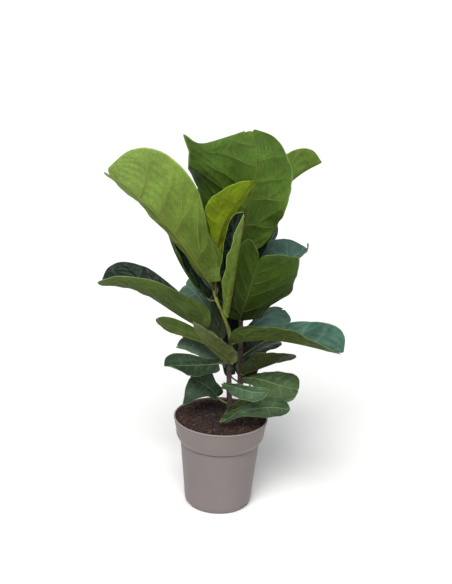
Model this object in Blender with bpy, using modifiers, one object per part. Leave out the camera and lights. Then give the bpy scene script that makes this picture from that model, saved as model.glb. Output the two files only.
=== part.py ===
"""Potted bambino fiddle-leaf fig: a nursery pot of soil with two slender stems
that carry stiff, folded, fiddle-shaped leaves on short stalks.

Metres, +Z up. The origin is the middle of the pot's flat underside, and the
plant's front faces -Y. Each leaf is one closed solid, stalk and blade together.
"""
import math
import random

import bmesh
import bpy
import numpy as np

NAME = "potted_fiddle_leaf_fig"
GAP = 0.0003                      # clearance kept between neighbouring solids

# Pot: radii and heights of the moulded shell
RIM_RADIUS = 0.105
RIM_HEIGHT = 0.2074
BAND_FOOT_RADIUS = 0.0986         # lower edge of the collar under the rim
BAND_FOOT_HEIGHT = 0.166
NECK_RADIUS = 0.0880              # body just below the collar's chamfer
NECK_HEIGHT = 0.1515
BODY_FOOT_RADIUS = 0.0768
BODY_FOOT_HEIGHT = 0.0260
FOOT_RADIUS = 0.0700
WALL = 0.0022
FLOOR = 0.012
POT_SIDES = 48
NOTCH_ANGLES = (-33.0, 87.0, 207.0)   # recesses moulded into the foot's edge
NOTCH_WIDTH = 0.028
NOTCH_HEIGHT = 0.0085
NOTCH_DEPTH = 0.006

# Soil: nearly level with the rim, a little mounded round the stems
SOIL_EDGE = 0.2025
SOIL_CROWN = 0.2100
SOIL_PLATEAU = 0.058              # radius of the level middle
SOIL_BUMP = 0.0016

# Stems: heights are measured from the pot's underside
STEM_SIDES = 12
FLARE_HEIGHT = 0.022
FLARE = 1.30
FRONT_STEM = ((0.021, 0.000), (0.016, 0.000), (0.014, 0.000), (0.016, 0.000),
              (0.012, 0.000), (-0.001, 0.000), (-0.018, 0.000), (-0.032, 0.000))
FRONT_HEIGHTS = (0.210, 0.270, 0.320, 0.362, 0.400, 0.439, 0.476, 0.519)
BACK_STEM = ((0.046, 0.046), (0.041, 0.040), (0.038, 0.034), (0.036, 0.028),
             (0.030, 0.020), (0.022, 0.014), (0.016, 0.010))
BACK_HEIGHTS = (0.210, 0.270, 0.340, 0.420, 0.500, 0.570, 0.622)
STEMS = {
    "front": (FRONT_STEM, FRONT_HEIGHTS, 0.0068, 0.0030),
    "back": (BACK_STEM, BACK_HEIGHTS, 0.0066, 0.0032),
}
SHOOT_START = {"front": 0.392, "back": 0.545}   # where brown bark gives way to green

# Leaves: half-width of a fiddle blade along its length, as a share of the widest
PROFILE_AT = (0.00, 0.03, 0.09, 0.17, 0.26, 0.34, 0.46, 0.58, 0.70, 0.80, 0.89, 0.95, 0.985, 1.00)
PROFILE = (0.00, 0.25, 0.42, 0.47, 0.45, 0.46, 0.64, 0.86, 0.985, 1.00, 0.93, 0.75, 0.48, 0.12)
BLADE_THICKNESS = 0.0030
FOLD_AT = 0.08                    # where along the midrib a blade reaches its full fold
LOBE_DEPTH = 0.05                 # how far the basal lobes reach back, as a share of the width
LOBE_AT = 0.05                    # and where along the midrib they reach furthest
STALK_RADIUS = 0.0026
STALK_RINGS = 4
STALK_LIFT = 45.0                 # degrees a stalk rises as it leaves the stem
STATIONS = (0.0, 0.04, 0.11, 0.20, 0.31, 0.43, 0.55, 0.67, 0.78, 0.88, 0.95, 0.985, 1.0)

# One row a leaf. stem, node height, side the stalk leaves by, stalk length,
# then the blade: azimuth (0 is +X, 90 away from the front), rise above level,
# length, width, arch and sway (start and end angles off the chord), roll and
# twist about the midrib, and for each half its fold at the base, its fold at
# the tip and the curl across it. Angles are in degrees. A pull draws the blade
# out round one spot: its place along and across, the shift along the midrib,
# to the right and off the upper side, and how far it reaches.
LEAVES = {}


def leaf(name, stem, node, azimuth, rise, length, width, side=None, stalk=0.018, lift=None,
         arch=(12, 18), sway=(0, 0), roll=0, twist=0, left=(18, 10, 0), right=(18, 10, 0),
         wave=0.0, phase=0.0, waist=1.0, notch=0.012, peak=1.0,
         halves=(1.0, 1.0), pulls=(), age=1.0):
    LEAVES[name] = dict(
        stem=stem, node=node, azimuth=azimuth, rise=rise, length=length, width=width,
        side=azimuth if side is None else side, stalk=stalk,
        lift=STALK_LIFT if lift is None else lift, arch=arch, sway=sway, roll=roll,
        twist=twist, left=left, right=right, wave=wave, phase=phase, waist=waist,
        notch=notch, peak=peak, halves=halves, pulls=pulls, age=age)


# Top of the crown
leaf("leaf_top_left", "front", 0.501, -168, 47, 0.324, 0.263, side=-119, stalk=0.032, lift=47,
     arch=(10, 16), sway=(-7, 1), roll=-12, twist=6, left=(62, 52, 15), right=(-4, -3, -8), waist=1.15,
     peak=0.86, notch=0.037, halves=(0.86, 0.5))
leaf("leaf_top_middle", "back", 0.599, -82, 71, 0.277, 0.32, side=-71, stalk=0.017, lift=22,
     arch=(6, -1), sway=(-7, -22), roll=24, twist=11, left=(14, -2, -17), right=(12, -33, 9), waist=1.8,
     peak=0.85, notch=0.023, halves=(0.5, 0.88), wave=0.008, phase=0.1,
     pulls=((0.86, 1, 0.034, 0.01, 0, 0.017), (0.9, 0.7, -0.008, 0, 0, 0.03)))
leaf("leaf_top_right", "back", 0.601, 1, 47, 0.216, 0.109, side=27, stalk=0.032, lift=41, arch=(10, 24),
     sway=(-4, -9), roll=16, twist=-3, left=(39, 31, -21), right=(49, 48, 46), waist=0.82, peak=0.86,
     notch=0.03, halves=(0.93, 1))
leaf("leaf_young", "front", 0.486, -48, 60, 0.196, 0.115, side=-94, stalk=0.11, lift=76, arch=(25, -1),
     sway=(2, 14), roll=22, twist=-4, left=(26, 37, 4), right=(53, -29, 18), waist=1.54, peak=0.85,
     notch=0, halves=(0.66, 0.92))
leaf("leaf_inner_upright", "front", 0.44, -80, 62, 0.29, 0.089, side=-55, stalk=0.017, lift=46,
     arch=(9, 9), sway=(-3, -2), roll=-98, twist=-15, left=(54, 10, 65), right=(67, 59, -9), waist=1.32,
     peak=0.62, notch=0.058, halves=(0.74, 0.98))
leaf("leaf_behind_top_left", "front", 0.477, 166, 61, 0.214, 0.099, side=144, stalk=0.022, lift=-3,
     arch=(-25, -24), sway=(6, 3), roll=-2, twist=1, left=(25, 27, 13), right=(33, 41, 30), waist=1.03,
     peak=0.64, notch=0.06, halves=(0.58, 0.87))
# Middle of the crown
leaf("leaf_middle_right", "back", 0.426, -74, 57, 0.214, 0.203, side=-100, stalk=0.01, lift=13,
     arch=(-8, 14), sway=(4, -8), roll=8, twist=5, left=(6, 6, 20), right=(45, 68, 1), waist=1.48,
     peak=0.68, notch=0.068, halves=(0.97, 0.69),
     pulls=((0.985, -1, 0.005, 0, 0, 0.008), (0.95, -1, -0.01, 0, 0, 0.009), (0.84, -1, 0.008, 0.001, 0, 0.01)))
leaf("leaf_back_right", "back", 0.479, 29, 28, 0.172, 0.144, side=6, stalk=0.015, lift=62,
     arch=(32, -1), sway=(6, 2), roll=-16, twist=-3, left=(19, 12, -23), right=(21, 2, 61), waist=1.05,
     peak=0.66, notch=0, halves=(0.98, 0.5), pulls=((0.99, 1, 0.009, 0, 0.01, 0.012),))
leaf("leaf_left_long", "front", 0.349, 165, 18, 0.26, 0.201, side=-177, stalk=0.075, lift=50,
     arch=(-2, 29), sway=(-8, 5), roll=16, twist=10, left=(80, 4, 65), right=(35, 11, 7), waist=1.58,
     peak=0.92, notch=0.059, halves=(0.87, 0.56))
leaf("leaf_back_left", "back", 0.342, 125, 29, 0.177, 0.134, side=156, stalk=0.05, lift=27,
     arch=(31, 29), sway=(-3, 0), roll=32, twist=1, left=(14, -7, 1), right=(-27, 15, 18), waist=0.99,
     peak=1.39, notch=0.028, halves=(0.76, 0.96))
leaf("leaf_right_long", "front", 0.368, -29, 7, 0.258, 0.14, side=-71, stalk=0.02, lift=49,
     arch=(20, 6), sway=(-5, -5), roll=16, twist=-30, left=(56, 48, -7), right=(56, 36, 8), waist=1.34,
     peak=0.96, notch=0.078, halves=(0.82, 0.91))
leaf("leaf_behind_right", "back", 0.378, 43, 18, 0.125, 0.099, side=59, stalk=0.014, lift=16,
     arch=(28, 3), sway=(1, -11), roll=-7, twist=-1, left=(9, 9, -37), right=(-1, -6, -3), waist=0.91,
     peak=0.89, notch=0.061, halves=(0.72, 0.95))
# Lower part, left
leaf("leaf_left_small", "front", 0.323, 174, 26, 0.169, 0.067, side=150, stalk=0.025, lift=62,
     arch=(18, -24), sway=(-9, -2), roll=-51, twist=10, left=(66, -3, 42), right=(46, -9, 6),
     waist=1.14, peak=0.9, notch=0.025, halves=(0.95, 0.62))
leaf("leaf_front_diagonal", "front", 0.335, -150, 48, 0.146, 0.08, side=-77, stalk=0.02, lift=20,
     arch=(6, -25), sway=(2, 1), roll=-9, twist=4, left=(66, 8, -4), right=(-30, 48, -49), waist=1.64,
     peak=0.95, notch=0, halves=(0.89, 0.55))
leaf("leaf_left_dark", "front", 0.285, 169, 13, 0.119, 0.108, side=104, stalk=0.041, lift=53,
     arch=(-8, 29), sway=(1, 2), roll=28, twist=-9, left=(58, 57, -55), right=(-18, -12, 14),
     waist=1.17, peak=0.68, notch=0.115, halves=(0.62, 0.86))
leaf("leaf_low_left", "front", 0.335, -161, 2, 0.124, 0.1, side=-155, stalk=0.021, lift=4,
     arch=(-5, -4), sway=(4, 11), roll=54, twist=-7, left=(-23, 65, 8), right=(55, 11, 11), waist=1.29,
     peak=0.81, notch=0.009, halves=(0.74, 0.55))
leaf("leaf_low_left_drooping", "front", 0.234, -161, 40, 0.085, 0.106, side=168, stalk=0.026, lift=28,
     arch=(17, 9), sway=(-4, 6), roll=41, twist=8, left=(49, -16, -37), right=(47, -17, 52), waist=1.2,
     notch=0.02, halves=(0.81, 0.75), pulls=((0.77, -1, 0.012, -0.024, 0, 0.009),))
# Lower part, right
leaf("leaf_right_dark", "back", 0.288, 18, 26, 0.111, 0.111, side=105, stalk=0.026, lift=35,
     arch=(20, 10), sway=(-2, 0), roll=21, twist=-4, left=(19, -18, 43), right=(12, 9, -35), waist=1.16,
     peak=0.79, notch=0.071, halves=(0.91, 0.72))
leaf("leaf_right_olive", "back", 0.299, -2, 26, 0.124, 0.102, side=-71, stalk=0.013, lift=5,
     arch=(1, -8), sway=(2, -6), twist=11, left=(21, -15, -27), right=(78, 8, 28), waist=1.71,
     peak=0.69, notch=0.041, halves=(0.72, 0.82))
leaf("leaf_low_right", "back", 0.28, -25, 0, 0.131, 0.083, side=-44, stalk=0.009, lift=34,
     arch=(12, -5), sway=(0, 1), roll=-31, twist=-25, left=(-12, -5, -11), right=(27, 19, -10),
     waist=1.26, peak=0.73, notch=0.014, halves=(0.88, 0.98))
leaf("leaf_low_front", "front", 0.273, -41, 10, 0.125, 0.054, side=-107, stalk=0.044, lift=33,
     arch=(3, -17), sway=(3, 10), roll=-49, twist=3, left=(70, 41, 15), right=(-2, -17, 44), waist=1.25,
     peak=0.62, notch=0.027, halves=(0.5, 0.89))
leaf("leaf_lowest_right", "front", 0.23, 4, 11, 0.145, 0.058, side=-99, stalk=0.073, lift=1,
     arch=(27, 27), sway=(6, 2), roll=-43, twist=2, left=(56, -22, 7), right=(52, -45, -42), peak=0.8,
     notch=0.003, halves=(0.92, 0.74))
leaf("leaf_lowest_olive", "front", 0.215, -21, 35, 0.083, 0.073, side=-87, stalk=0.015, lift=19,
     arch=(9, 10), sway=(4, -2), roll=-1, twist=-6, left=(35, 7, -7), right=(49, 72, -13), waist=1.8,
     peak=1.11, notch=0.079, halves=(0.5, 0.86))
# Far side of the crown
leaf("leaf_back_01", "back", 0.238, 79, 18, 0.246, 0.15, side=48, stalk=0.032, lift=37, arch=(34, 13),
     sway=(-4, 0), roll=25, twist=-1, left=(24, -4, 11), right=(21, -51, 38), waist=1.48, peak=1.15,
     notch=0.011, halves=(0.92, 0.82))
leaf("leaf_back_02", "back", 0.27, 128, 43, 0.12, 0.092, side=138, stalk=0.026, lift=21, arch=(17, 14),
     sway=(1, 0), roll=41, twist=1, left=(26, 18, -30), right=(7, -13, -42), waist=0.8, peak=0.92,
     notch=0.071, halves=(0.7, 0.72))
leaf("leaf_back_04", "back", 0.307, 91, 16, 0.206, 0.159, side=104, stalk=0.031, lift=65, arch=(-7, 12),
     sway=(-2, -1), roll=8, left=(5, 45, -2), right=(51, 80, 35), waist=1.06, peak=0.74, notch=0.031,
     halves=(0.84, 0.9))
leaf("leaf_back_05", "back", 0.337, 10, -12, 0.149, 0.095, side=-18, stalk=0.073, lift=39,
     arch=(38, 33), sway=(4, 0), roll=21, twist=1, left=(71, -19, 9), right=(-10, -1, 21), waist=1.34,
     peak=0.64, notch=0.106, halves=(0.58, 0.99))
leaf("leaf_back_06", "back", 0.435, 82, 30, 0.208, 0.176, side=76, stalk=0.023, lift=23, arch=(7, 17),
     sway=(-1, -1), roll=15, twist=2, left=(13, 16, 11), right=(5, 34, 12), waist=1.38, peak=1.38,
     notch=0.011, halves=(0.87, 0.99))
leaf("leaf_back_07", "back", 0.442, 136, 40, 0.133, 0.078, side=131, stalk=0.019, lift=20, arch=(2, 12),
     roll=29, left=(27, 38, -20), right=(23, 34, -21), waist=1.49, notch=0.06, halves=(0.98, 0.98))
leaf("leaf_back_08", "back", 0.474, 118, 48, 0.108, 0.084, side=127, stalk=0.049, lift=41,
     arch=(-1, 14), roll=-19, left=(18, 5, -16), right=(-6, 28, -4), waist=0.9, peak=1.11, notch=0.032,
     halves=(0.88, 0.74))
leaf("leaf_back_09", "back", 0.497, 53, 49, 0.23, 0.108, side=22, stalk=0.029, lift=66, arch=(-17, -7),
     sway=(-3, -1), roll=17, left=(79, 17, 38), right=(6, 22, 29), waist=0.89, peak=1.33, notch=0.076,
     halves=(0.91, 0.82))
leaf("leaf_back_10", "back", 0.533, 146, 52, 0.185, 0.097, side=144, stalk=0.022, lift=42, arch=(6, 12),
     roll=14)
leaf("leaf_back_11", "back", 0.599, 119, 66, 0.165, 0.081, stalk=0.017, lift=23, arch=(5, 10), roll=3)


def direction(azimuth, rise):
    a, e = math.radians(azimuth), math.radians(rise)
    return np.array([math.cos(a) * math.cos(e), math.sin(a) * math.cos(e), math.sin(e)])


def unit(v):
    return v / np.linalg.norm(v, axis=-1, keepdims=True)


def smooth(at, keys_at, keys):
    """Cubic interpolation through the keys, without overshoot between them."""
    at = np.atleast_1d(np.asarray(at, float))
    x, y = np.asarray(keys_at, float), np.asarray(keys, float)
    slope = np.diff(y) / np.diff(x)
    tangent = np.concatenate([[slope[0]], (slope[1:] + slope[:-1]) / 2, [slope[-1]]])
    flat = np.where(slope[1:] * slope[:-1] <= 0)[0] + 1
    tangent[flat] = 0.0
    i = np.clip(np.searchsorted(x, at, side="right") - 1, 0, len(x) - 2)
    h = x[i + 1] - x[i]
    t = (at - x[i]) / h
    return ((2 * t**3 - 3 * t**2 + 1) * y[i] + (t**3 - 2 * t**2 + t) * h * tangent[i]
            + (3 * t**2 - 2 * t**3) * y[i + 1] + (t**3 - t**2) * h * tangent[i + 1])


def stem_axis(stem, height):
    """Point of a stem's axis at a height."""
    places, heights = STEMS[stem][0], STEMS[stem][1]
    x = smooth(height, heights, [p[0] for p in places])
    y = smooth(height, heights, [p[1] for p in places])
    return np.stack([x, y, np.atleast_1d(np.asarray(height, float))], -1)


def stem_radius(stem, height):
    heights, foot, tip = STEMS[stem][1], STEMS[stem][2], STEMS[stem][3]
    h = np.atleast_1d(np.asarray(height, float))
    share = np.clip((h - heights[0]) / (heights[-1] - heights[0]), 0, 1)
    flare = 1 + (FLARE - 1) * np.clip(1 - (h - heights[0]) / FLARE_HEIGHT, 0, 1) ** 2
    return (foot + (tip - foot) * share) * flare


def stalk_start(row):
    """Where a leaf's stalk leaves the stem, and which way."""
    foot = stem_axis(row["stem"], row["node"])[0]
    out = direction(row["side"], row["lift"])
    return foot, out


def midrib(row, t):
    """Midrib points and tangents, and the leaf's own side direction."""
    foot, out = stalk_start(row)
    base = foot + out * (row["stalk"] + float(stem_radius(row["stem"], row["node"])[0]))
    chord = direction(row["azimuth"], row["rise"])
    a = math.radians(row["azimuth"])
    right = np.array([math.sin(a), -math.cos(a), 0.0])
    up = np.cross(right, chord)
    tip = base + chord * row["length"]
    a0, a1 = (math.radians(v) for v in row["arch"])
    s0, s1 = (math.radians(v) for v in row["sway"])
    start = unit(chord + up * math.tan(a0) + right * math.tan(s0))
    end = unit(chord - up * math.tan(a1) - right * math.tan(s1))
    reach = row["length"] / 3
    p1, p2 = base + start * reach, tip - end * reach
    t = np.asarray(t, float)[:, None]
    point = (1 - t)**3 * base + 3 * (1 - t)**2 * t * p1 + 3 * (1 - t) * t**2 * p2 + t**3 * tip
    slope = unit((1 - t)**2 * (p1 - base) + 2 * (1 - t) * t * (p2 - p1) + t**2 * (tip - p2))
    side = unit(right - (slope @ right)[:, None] * slope)
    return point, slope, side


def blade(row, t, u, raise_by):
    """Points of a blade at t along the midrib and u across it, -1 left to 1 right,
    lifted off the middle surface by raise_by, or less inside a tight fold."""
    t, u = np.asarray(t, float), np.asarray(u, float)
    point, slope, side = midrib(row, t)
    face = np.cross(side, slope)
    roll = np.radians(row["roll"] + row["twist"] * t)[:, None]
    across = np.cos(roll) * side + np.sin(roll) * face
    face = np.cos(roll) * face - np.sin(roll) * side
    share = smooth(t ** row["peak"], PROFILE_AT, PROFILE)
    waist = 1 + (row["waist"] - 1) * np.exp(-((t - 0.27) / 0.20) ** 2)
    half = (share * waist * row["width"] / 2 + STALK_RADIUS * np.exp(-(t / 0.03) ** 2))[:, None]
    v = np.abs(u)[None, :]
    sign = np.where(u < 0, -1.0, 1.0)[None, :]
    is_left = (u < 0)[None, :]
    half = half * np.where(is_left, row["halves"][0], row["halves"][1])
    fold0 = np.where(is_left, row["left"][0], row["right"][0])
    fold1 = np.where(is_left, row["left"][1], row["right"][1])
    curl = np.radians(np.where(is_left, row["left"][2], row["right"][2]) + 1e-4)
    opening = np.minimum(1, 0.25 + 0.75 * t / FOLD_AT)[:, None]
    fold = np.radians(fold0 + (fold1 - fold0) * t[:, None]) * opening
    turn = fold + curl * v
    out = half * (np.sin(turn) - np.sin(fold)) / curl
    rise = half * (np.cos(fold) - np.cos(turn)) / curl
    ripple = row["wave"] * v**2 * np.sin(2 * math.pi * (2.3 * t[:, None] + row["phase"] + 0.35 * sign))
    rise = rise + ripple * np.minimum(1, np.minimum(6 * t, 4 * (1 - t)))[:, None]
    lobe = t[:, None] / LOBE_AT
    back = min(row["width"], 0.7 * row["length"]) * LOBE_DEPTH * v**1.5 * lobe * np.exp(1 - lobe)
    notch = row["length"] * row["notch"] * (1 - v) ** 2 * np.exp(-((1 - t[:, None]) / 0.10) ** 2)
    lean_x, lean_z = -np.sin(turn) * sign, np.cos(turn)
    left0, right0 = (np.radians(row[k][0] + (row[k][1] - row[k][0]) * t[:, None]) * opening
                     for k in ("left", "right"))
    on_midrib = v < 1e-9
    lean_x = np.where(on_midrib, (np.sin(left0) - np.sin(right0)) / 2, lean_x)
    lean_z = np.where(on_midrib, (np.cos(left0) + np.cos(right0)) / 2, lean_z)
    normal = unit(lean_x[..., None] * across[:, None, :] + lean_z[..., None] * face[:, None, :])
    room = 0.7 * np.abs(out) / np.maximum(np.abs(np.sin(turn)), 1e-6)
    tight = (turn * raise_by > 0) & ~on_midrib
    lift = np.where(tight, np.sign(raise_by) * np.minimum(abs(raise_by), room), raise_by)
    place = (point[:, None, :] + (sign * out)[..., None] * across[:, None, :]
             + rise[..., None] * face[:, None, :]
             - (back + notch)[..., None] * slope[:, None, :])
    for at, beside, along, outward, upward, reach in row["pulls"]:
        off = ((t[:, None] - at) * row["length"]) ** 2 + ((u[None, :] - beside) * row["width"] / 2) ** 2
        near = np.exp(-off / reach**2)[..., None]
        place = place + near * (along * slope[:, None, :] + outward * across[:, None, :] + upward * normal)
    return place + normal * lift[..., None]


def stalk_rings(row, count, corners):
    """Rings of a stalk from just clear of the stem to the blade's first section."""
    foot, out = stalk_start(row)
    radius = float(stem_radius(row["stem"], row["node"])[0])
    point, slope, side = midrib(row, [0.0])
    base, heading = point[0], slope[0]
    lift = math.radians(row["lift"])
    begin = foot + out * (radius + GAP + STALK_RADIUS * abs(math.sin(lift))) / math.cos(lift)
    reach = np.linalg.norm(base - begin) / 3
    p1, p2 = begin + out * reach, base - heading * reach
    roll = math.radians(row["roll"])
    face0 = np.cross(side[0], heading)
    across = math.cos(roll) * side[0] + math.sin(roll) * face0
    above = stem_axis(row["stem"], row["node"] + 0.004)[0]
    lean = unit(above - foot)
    rings = []
    for k in range(count):
        t = k / count
        p = (1 - t)**3 * begin + 3 * (1 - t)**2 * t * p1 + 3 * (1 - t) * t**2 * p2 + t**3 * base
        d = unit((1 - t)**2 * (p1 - begin) + 2 * (1 - t) * t * (p2 - p1) + t**2 * (base - p2))
        s = unit(across - (across @ d) * d)
        n = np.cross(s, d)
        ring = []
        for angle in corners:
            q = p + STALK_RADIUS * (s * math.cos(angle) + n * math.sin(angle))
            if k == 0:
                for _ in range(200):
                    nearer = q - out * 0.0001
                    off = nearer - foot
                    off = off - (off @ lean) * lean
                    if np.linalg.norm(off) < radius + GAP:
                        break
                    q = nearer
            ring.append(q)
        rings.append(ring)
    return rings


def leaf_rings(row):
    """Closed rings from the stalk's foot to the leaf's tip."""
    across = 7 if row["length"] > 0.19 else 5
    u = np.linspace(-1, 1, across)
    top = blade(row, STATIONS, u, BLADE_THICKNESS / 2)
    under = blade(row, STATIONS, u, -BLADE_THICKNESS / 2)
    spread = np.linspace(math.pi * 0.93, math.pi * 0.07, across)
    corners = list(spread) + list(-spread[::-1])
    rings = stalk_rings(row, STALK_RINGS, corners)
    for i in range(len(STATIONS)):
        rings.append(list(top[i]) + list(under[i][::-1]))
    return np.array(rings)


# Blender objects
def collection(name):
    made = bpy.data.collections.new(name)
    bpy.context.scene.collection.children.link(made)
    return made


def material(name, colour, roughness, metallic=0.0):
    made = bpy.data.materials.new(name)
    made.use_nodes = True
    shader = made.node_tree.nodes["Principled BSDF"]
    shader.inputs["Base Color"].default_value = (*colour, 1.0)
    shader.inputs["Roughness"].default_value = roughness
    shader.inputs["Metallic"].default_value = metallic
    made.diffuse_color = (*colour, 1.0)
    return made


def mesh_object(name, vertices, faces, look, home, smooth_shading=True):
    mesh = bpy.data.meshes.new(name)
    mesh.from_pydata([tuple(v) for v in vertices], [], faces)
    mesh.validate()
    mesh.update()
    if smooth_shading:
        mesh.shade_smooth()
    made = bpy.data.objects.new(name, mesh)
    made.data.materials.append(look)
    home.objects.link(made)
    return made


def loft(rings):
    """Vertices and triangles of a closed loft whose rings run anticlockwise
    as seen from its far end."""
    rings = np.asarray(rings)
    count, size = rings.shape[0], rings.shape[1]
    half = size // 2
    faces = []
    for i in range(count - 1):
        a, b = i * size, (i + 1) * size
        for j in range(size):
            k = (j + 1) % size
            if j < half:
                faces += [(a + j, b + j, b + k), (a + j, b + k, a + k)]
            else:
                faces += [(a + j, b + j, a + k), (b + j, b + k, a + k)]
    last = (count - 1) * size
    for j in range(1, size // 2):
        k, m = size - j, j
        for base, flip in ((0, False), (last, True)):
            quad = [base + m - 1, base + m, base + (k - 1) % size, base + k % size]
            tri = [(quad[0], quad[1], quad[2]), (quad[0], quad[2], quad[3])]
            faces += [t[::-1] for t in tri] if flip else tri
    return rings.reshape(-1, 3), faces


def make_pot(home, cutters):
    """Turned shell with a collar under the rim and recesses in the foot's edge."""
    outer = [(RIM_RADIUS - 0.0028, RIM_HEIGHT), (RIM_RADIUS - 0.0006, RIM_HEIGHT - 0.0004),
             (RIM_RADIUS, RIM_HEIGHT - 0.0020), (RIM_RADIUS - 0.0006, RIM_HEIGHT - 0.0044),
             (RIM_RADIUS - 0.0014, RIM_HEIGHT - 0.0056),
             (BAND_FOOT_RADIUS, BAND_FOOT_HEIGHT), (BAND_FOOT_RADIUS - 0.0042, BAND_FOOT_HEIGHT - 0.0080),
             (NECK_RADIUS + 0.0016, NECK_HEIGHT), (NECK_RADIUS, NECK_HEIGHT - 0.0010),
             (BODY_FOOT_RADIUS, BODY_FOOT_HEIGHT), (BODY_FOOT_RADIUS - 0.0008, 0.0160),
             (BODY_FOOT_RADIUS - 0.0026, 0.0070), (FOOT_RADIUS + 0.0022, 0.0018),
             (FOOT_RADIUS, 0.0), (0.0, 0.0)]
    inner = [(0.0, FLOOR), (BODY_FOOT_RADIUS - WALL - 0.0012, FLOOR),
             (BODY_FOOT_RADIUS - WALL, BODY_FOOT_HEIGHT),
             (NECK_RADIUS - WALL, NECK_HEIGHT - 0.0030),
             (BAND_FOOT_RADIUS - WALL - 0.0030, BAND_FOOT_HEIGHT - 0.0030),
             (BAND_FOOT_RADIUS - WALL, BAND_FOOT_HEIGHT + 0.0040),
             (RIM_RADIUS - 0.0014 - WALL, RIM_HEIGHT - 0.0050),
             (RIM_RADIUS - 0.0030, RIM_HEIGHT - 0.0004)]
    mesh = bpy.data.meshes.new("pot")
    points = outer + inner
    edges = [(i, i + 1) for i in range(len(points) - 1)] + [(len(points) - 1, 0)]
    centre = len(outer) - 1
    edges.remove((centre, centre + 1))
    mesh.from_pydata([(r, 0.0, z) for r, z in points], edges, [])
    pot = bpy.data.objects.new("pot", mesh)
    pot.data.materials.append(material("taupe_plastic", (0.27, 0.22, 0.205), 0.55))
    home.objects.link(pot)
    screw = pot.modifiers.new("turn", "SCREW")
    screw.steps = POT_SIDES
    screw.render_steps = POT_SIDES
    screw.use_merge_vertices = True
    screw.merge_threshold = 0.0001
    screw.use_smooth_shade = True
    for number, angle in enumerate(NOTCH_ANGLES, 1):
        a = math.radians(angle)
        bm = bmesh.new()
        bmesh.ops.create_cube(bm, size=1.0)
        bmesh.ops.scale(bm, vec=(2 * NOTCH_DEPTH + 0.02, NOTCH_WIDTH, 2 * NOTCH_HEIGHT), verts=bm.verts)
        cut_mesh = bpy.data.meshes.new(f"foot_recess_{number}")
        bm.to_mesh(cut_mesh)
        bm.free()
        cutter = bpy.data.objects.new(f"foot_recess_{number}", cut_mesh)
        reach = FOOT_RADIUS + 0.010
        cutter.location = (reach * math.cos(a), reach * math.sin(a), 0.0)
        cutter.rotation_euler = (0.0, 0.0, a)
        cutter.hide_render = True
        cutter.display_type = "WIRE"
        cutters.objects.link(cutter)
        cut = pot.modifiers.new(f"recess_{number}", "BOOLEAN")
        cut.operation = "DIFFERENCE"
        cut.solver = "EXACT"
        cut.object = cutter
    return pot


def make_soil(home):
    """Filling of the pot: flat sides, and a top that mounds a little with shallow lumps."""
    rng = random.Random(5)
    walls = [(0.0, FLOOR + GAP), (BODY_FOOT_RADIUS - WALL - 0.0016, FLOOR + GAP),
             (BODY_FOOT_RADIUS - WALL - 0.0005, BODY_FOOT_HEIGHT),
             (NECK_RADIUS - WALL - 0.0005, NECK_HEIGHT - 0.0028),
             (BAND_FOOT_RADIUS - WALL - 0.0036, BAND_FOOT_HEIGHT - 0.0026),
             (BAND_FOOT_RADIUS - WALL - 0.0006, BAND_FOOT_HEIGHT + 0.0042)]
    sides = 36
    top_radii = (RIM_RADIUS - 0.0014 - WALL - 0.0008, 0.094, 0.084, 0.072, SOIL_PLATEAU, 0.030)
    rings = [[(r * math.cos(2 * math.pi * k / sides), r * math.sin(2 * math.pi * k / sides), z)
              for k in range(sides)] for r, z in walls[1:]]
    for number, r in enumerate(top_radii):
        ring = []
        for k in range(sides):
            a = 2 * math.pi * k / sides
            share = min(1.0, max(0.0, (top_radii[0] - r) / (top_radii[0] - SOIL_PLATEAU)))
            z = SOIL_EDGE + (SOIL_CROWN - SOIL_EDGE) * math.sin(share * math.pi / 2)
            if 0 < number < 4:
                z += rng.uniform(-SOIL_BUMP, SOIL_BUMP)
            ring.append((r * math.cos(a), r * math.sin(a), z))
        rings.append(ring)
    vertices = [v for ring in rings for v in ring] + [(0, 0, FLOOR + GAP), (0, 0, SOIL_CROWN)]
    faces = []
    for i in range(len(rings) - 1):
        for k in range(sides):
            m = (k + 1) % sides
            a, b = i * sides, (i + 1) * sides
            faces += [(a + k, a + m, b + m), (a + k, b + m, b + k)]
    last = (len(rings) - 1) * sides
    low, high = len(vertices) - 2, len(vertices) - 1
    for k in range(sides):
        m = (k + 1) % sides
        faces += [(low, m, k), (last + k, last + m, high)]
    return mesh_object("soil", vertices, faces, material("potting_soil", (0.035, 0.018, 0.016), 0.95), home)


def make_stem(name, stem, start, end, colour, home, tip=False):
    """Tapered stem of level rings from a flat cut to its end."""
    count = max(4, int((end - start) / 0.018))
    heights = [start + (end - start) * i / count for i in range(count + 1)]
    rings = []
    for i, z in enumerate(heights):
        p = stem_axis(stem, z)[0]
        r = float(stem_radius(stem, z)[0])
        if tip and i == count:
            r *= 0.35
        rings.append([(p[0] + r * math.cos(2 * math.pi * k / STEM_SIDES),
                       p[1] + r * math.sin(2 * math.pi * k / STEM_SIDES), z) for k in range(STEM_SIDES)])
    rings = [ring[::-1] for ring in rings]
    vertices, faces = loft(rings)
    return mesh_object(name, vertices, faces, material(name + "_bark", colour, 0.7), home)


def make_leaf(name, row, home):
    vertices, faces = loft(leaf_rings(row)[:, ::-1])
    green = (0.10, 0.19, 0.035) if row["age"] < 1 else (0.045, 0.115, 0.05)
    return mesh_object(name, vertices, faces, material(name + "_green", green, 0.45), home)


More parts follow.
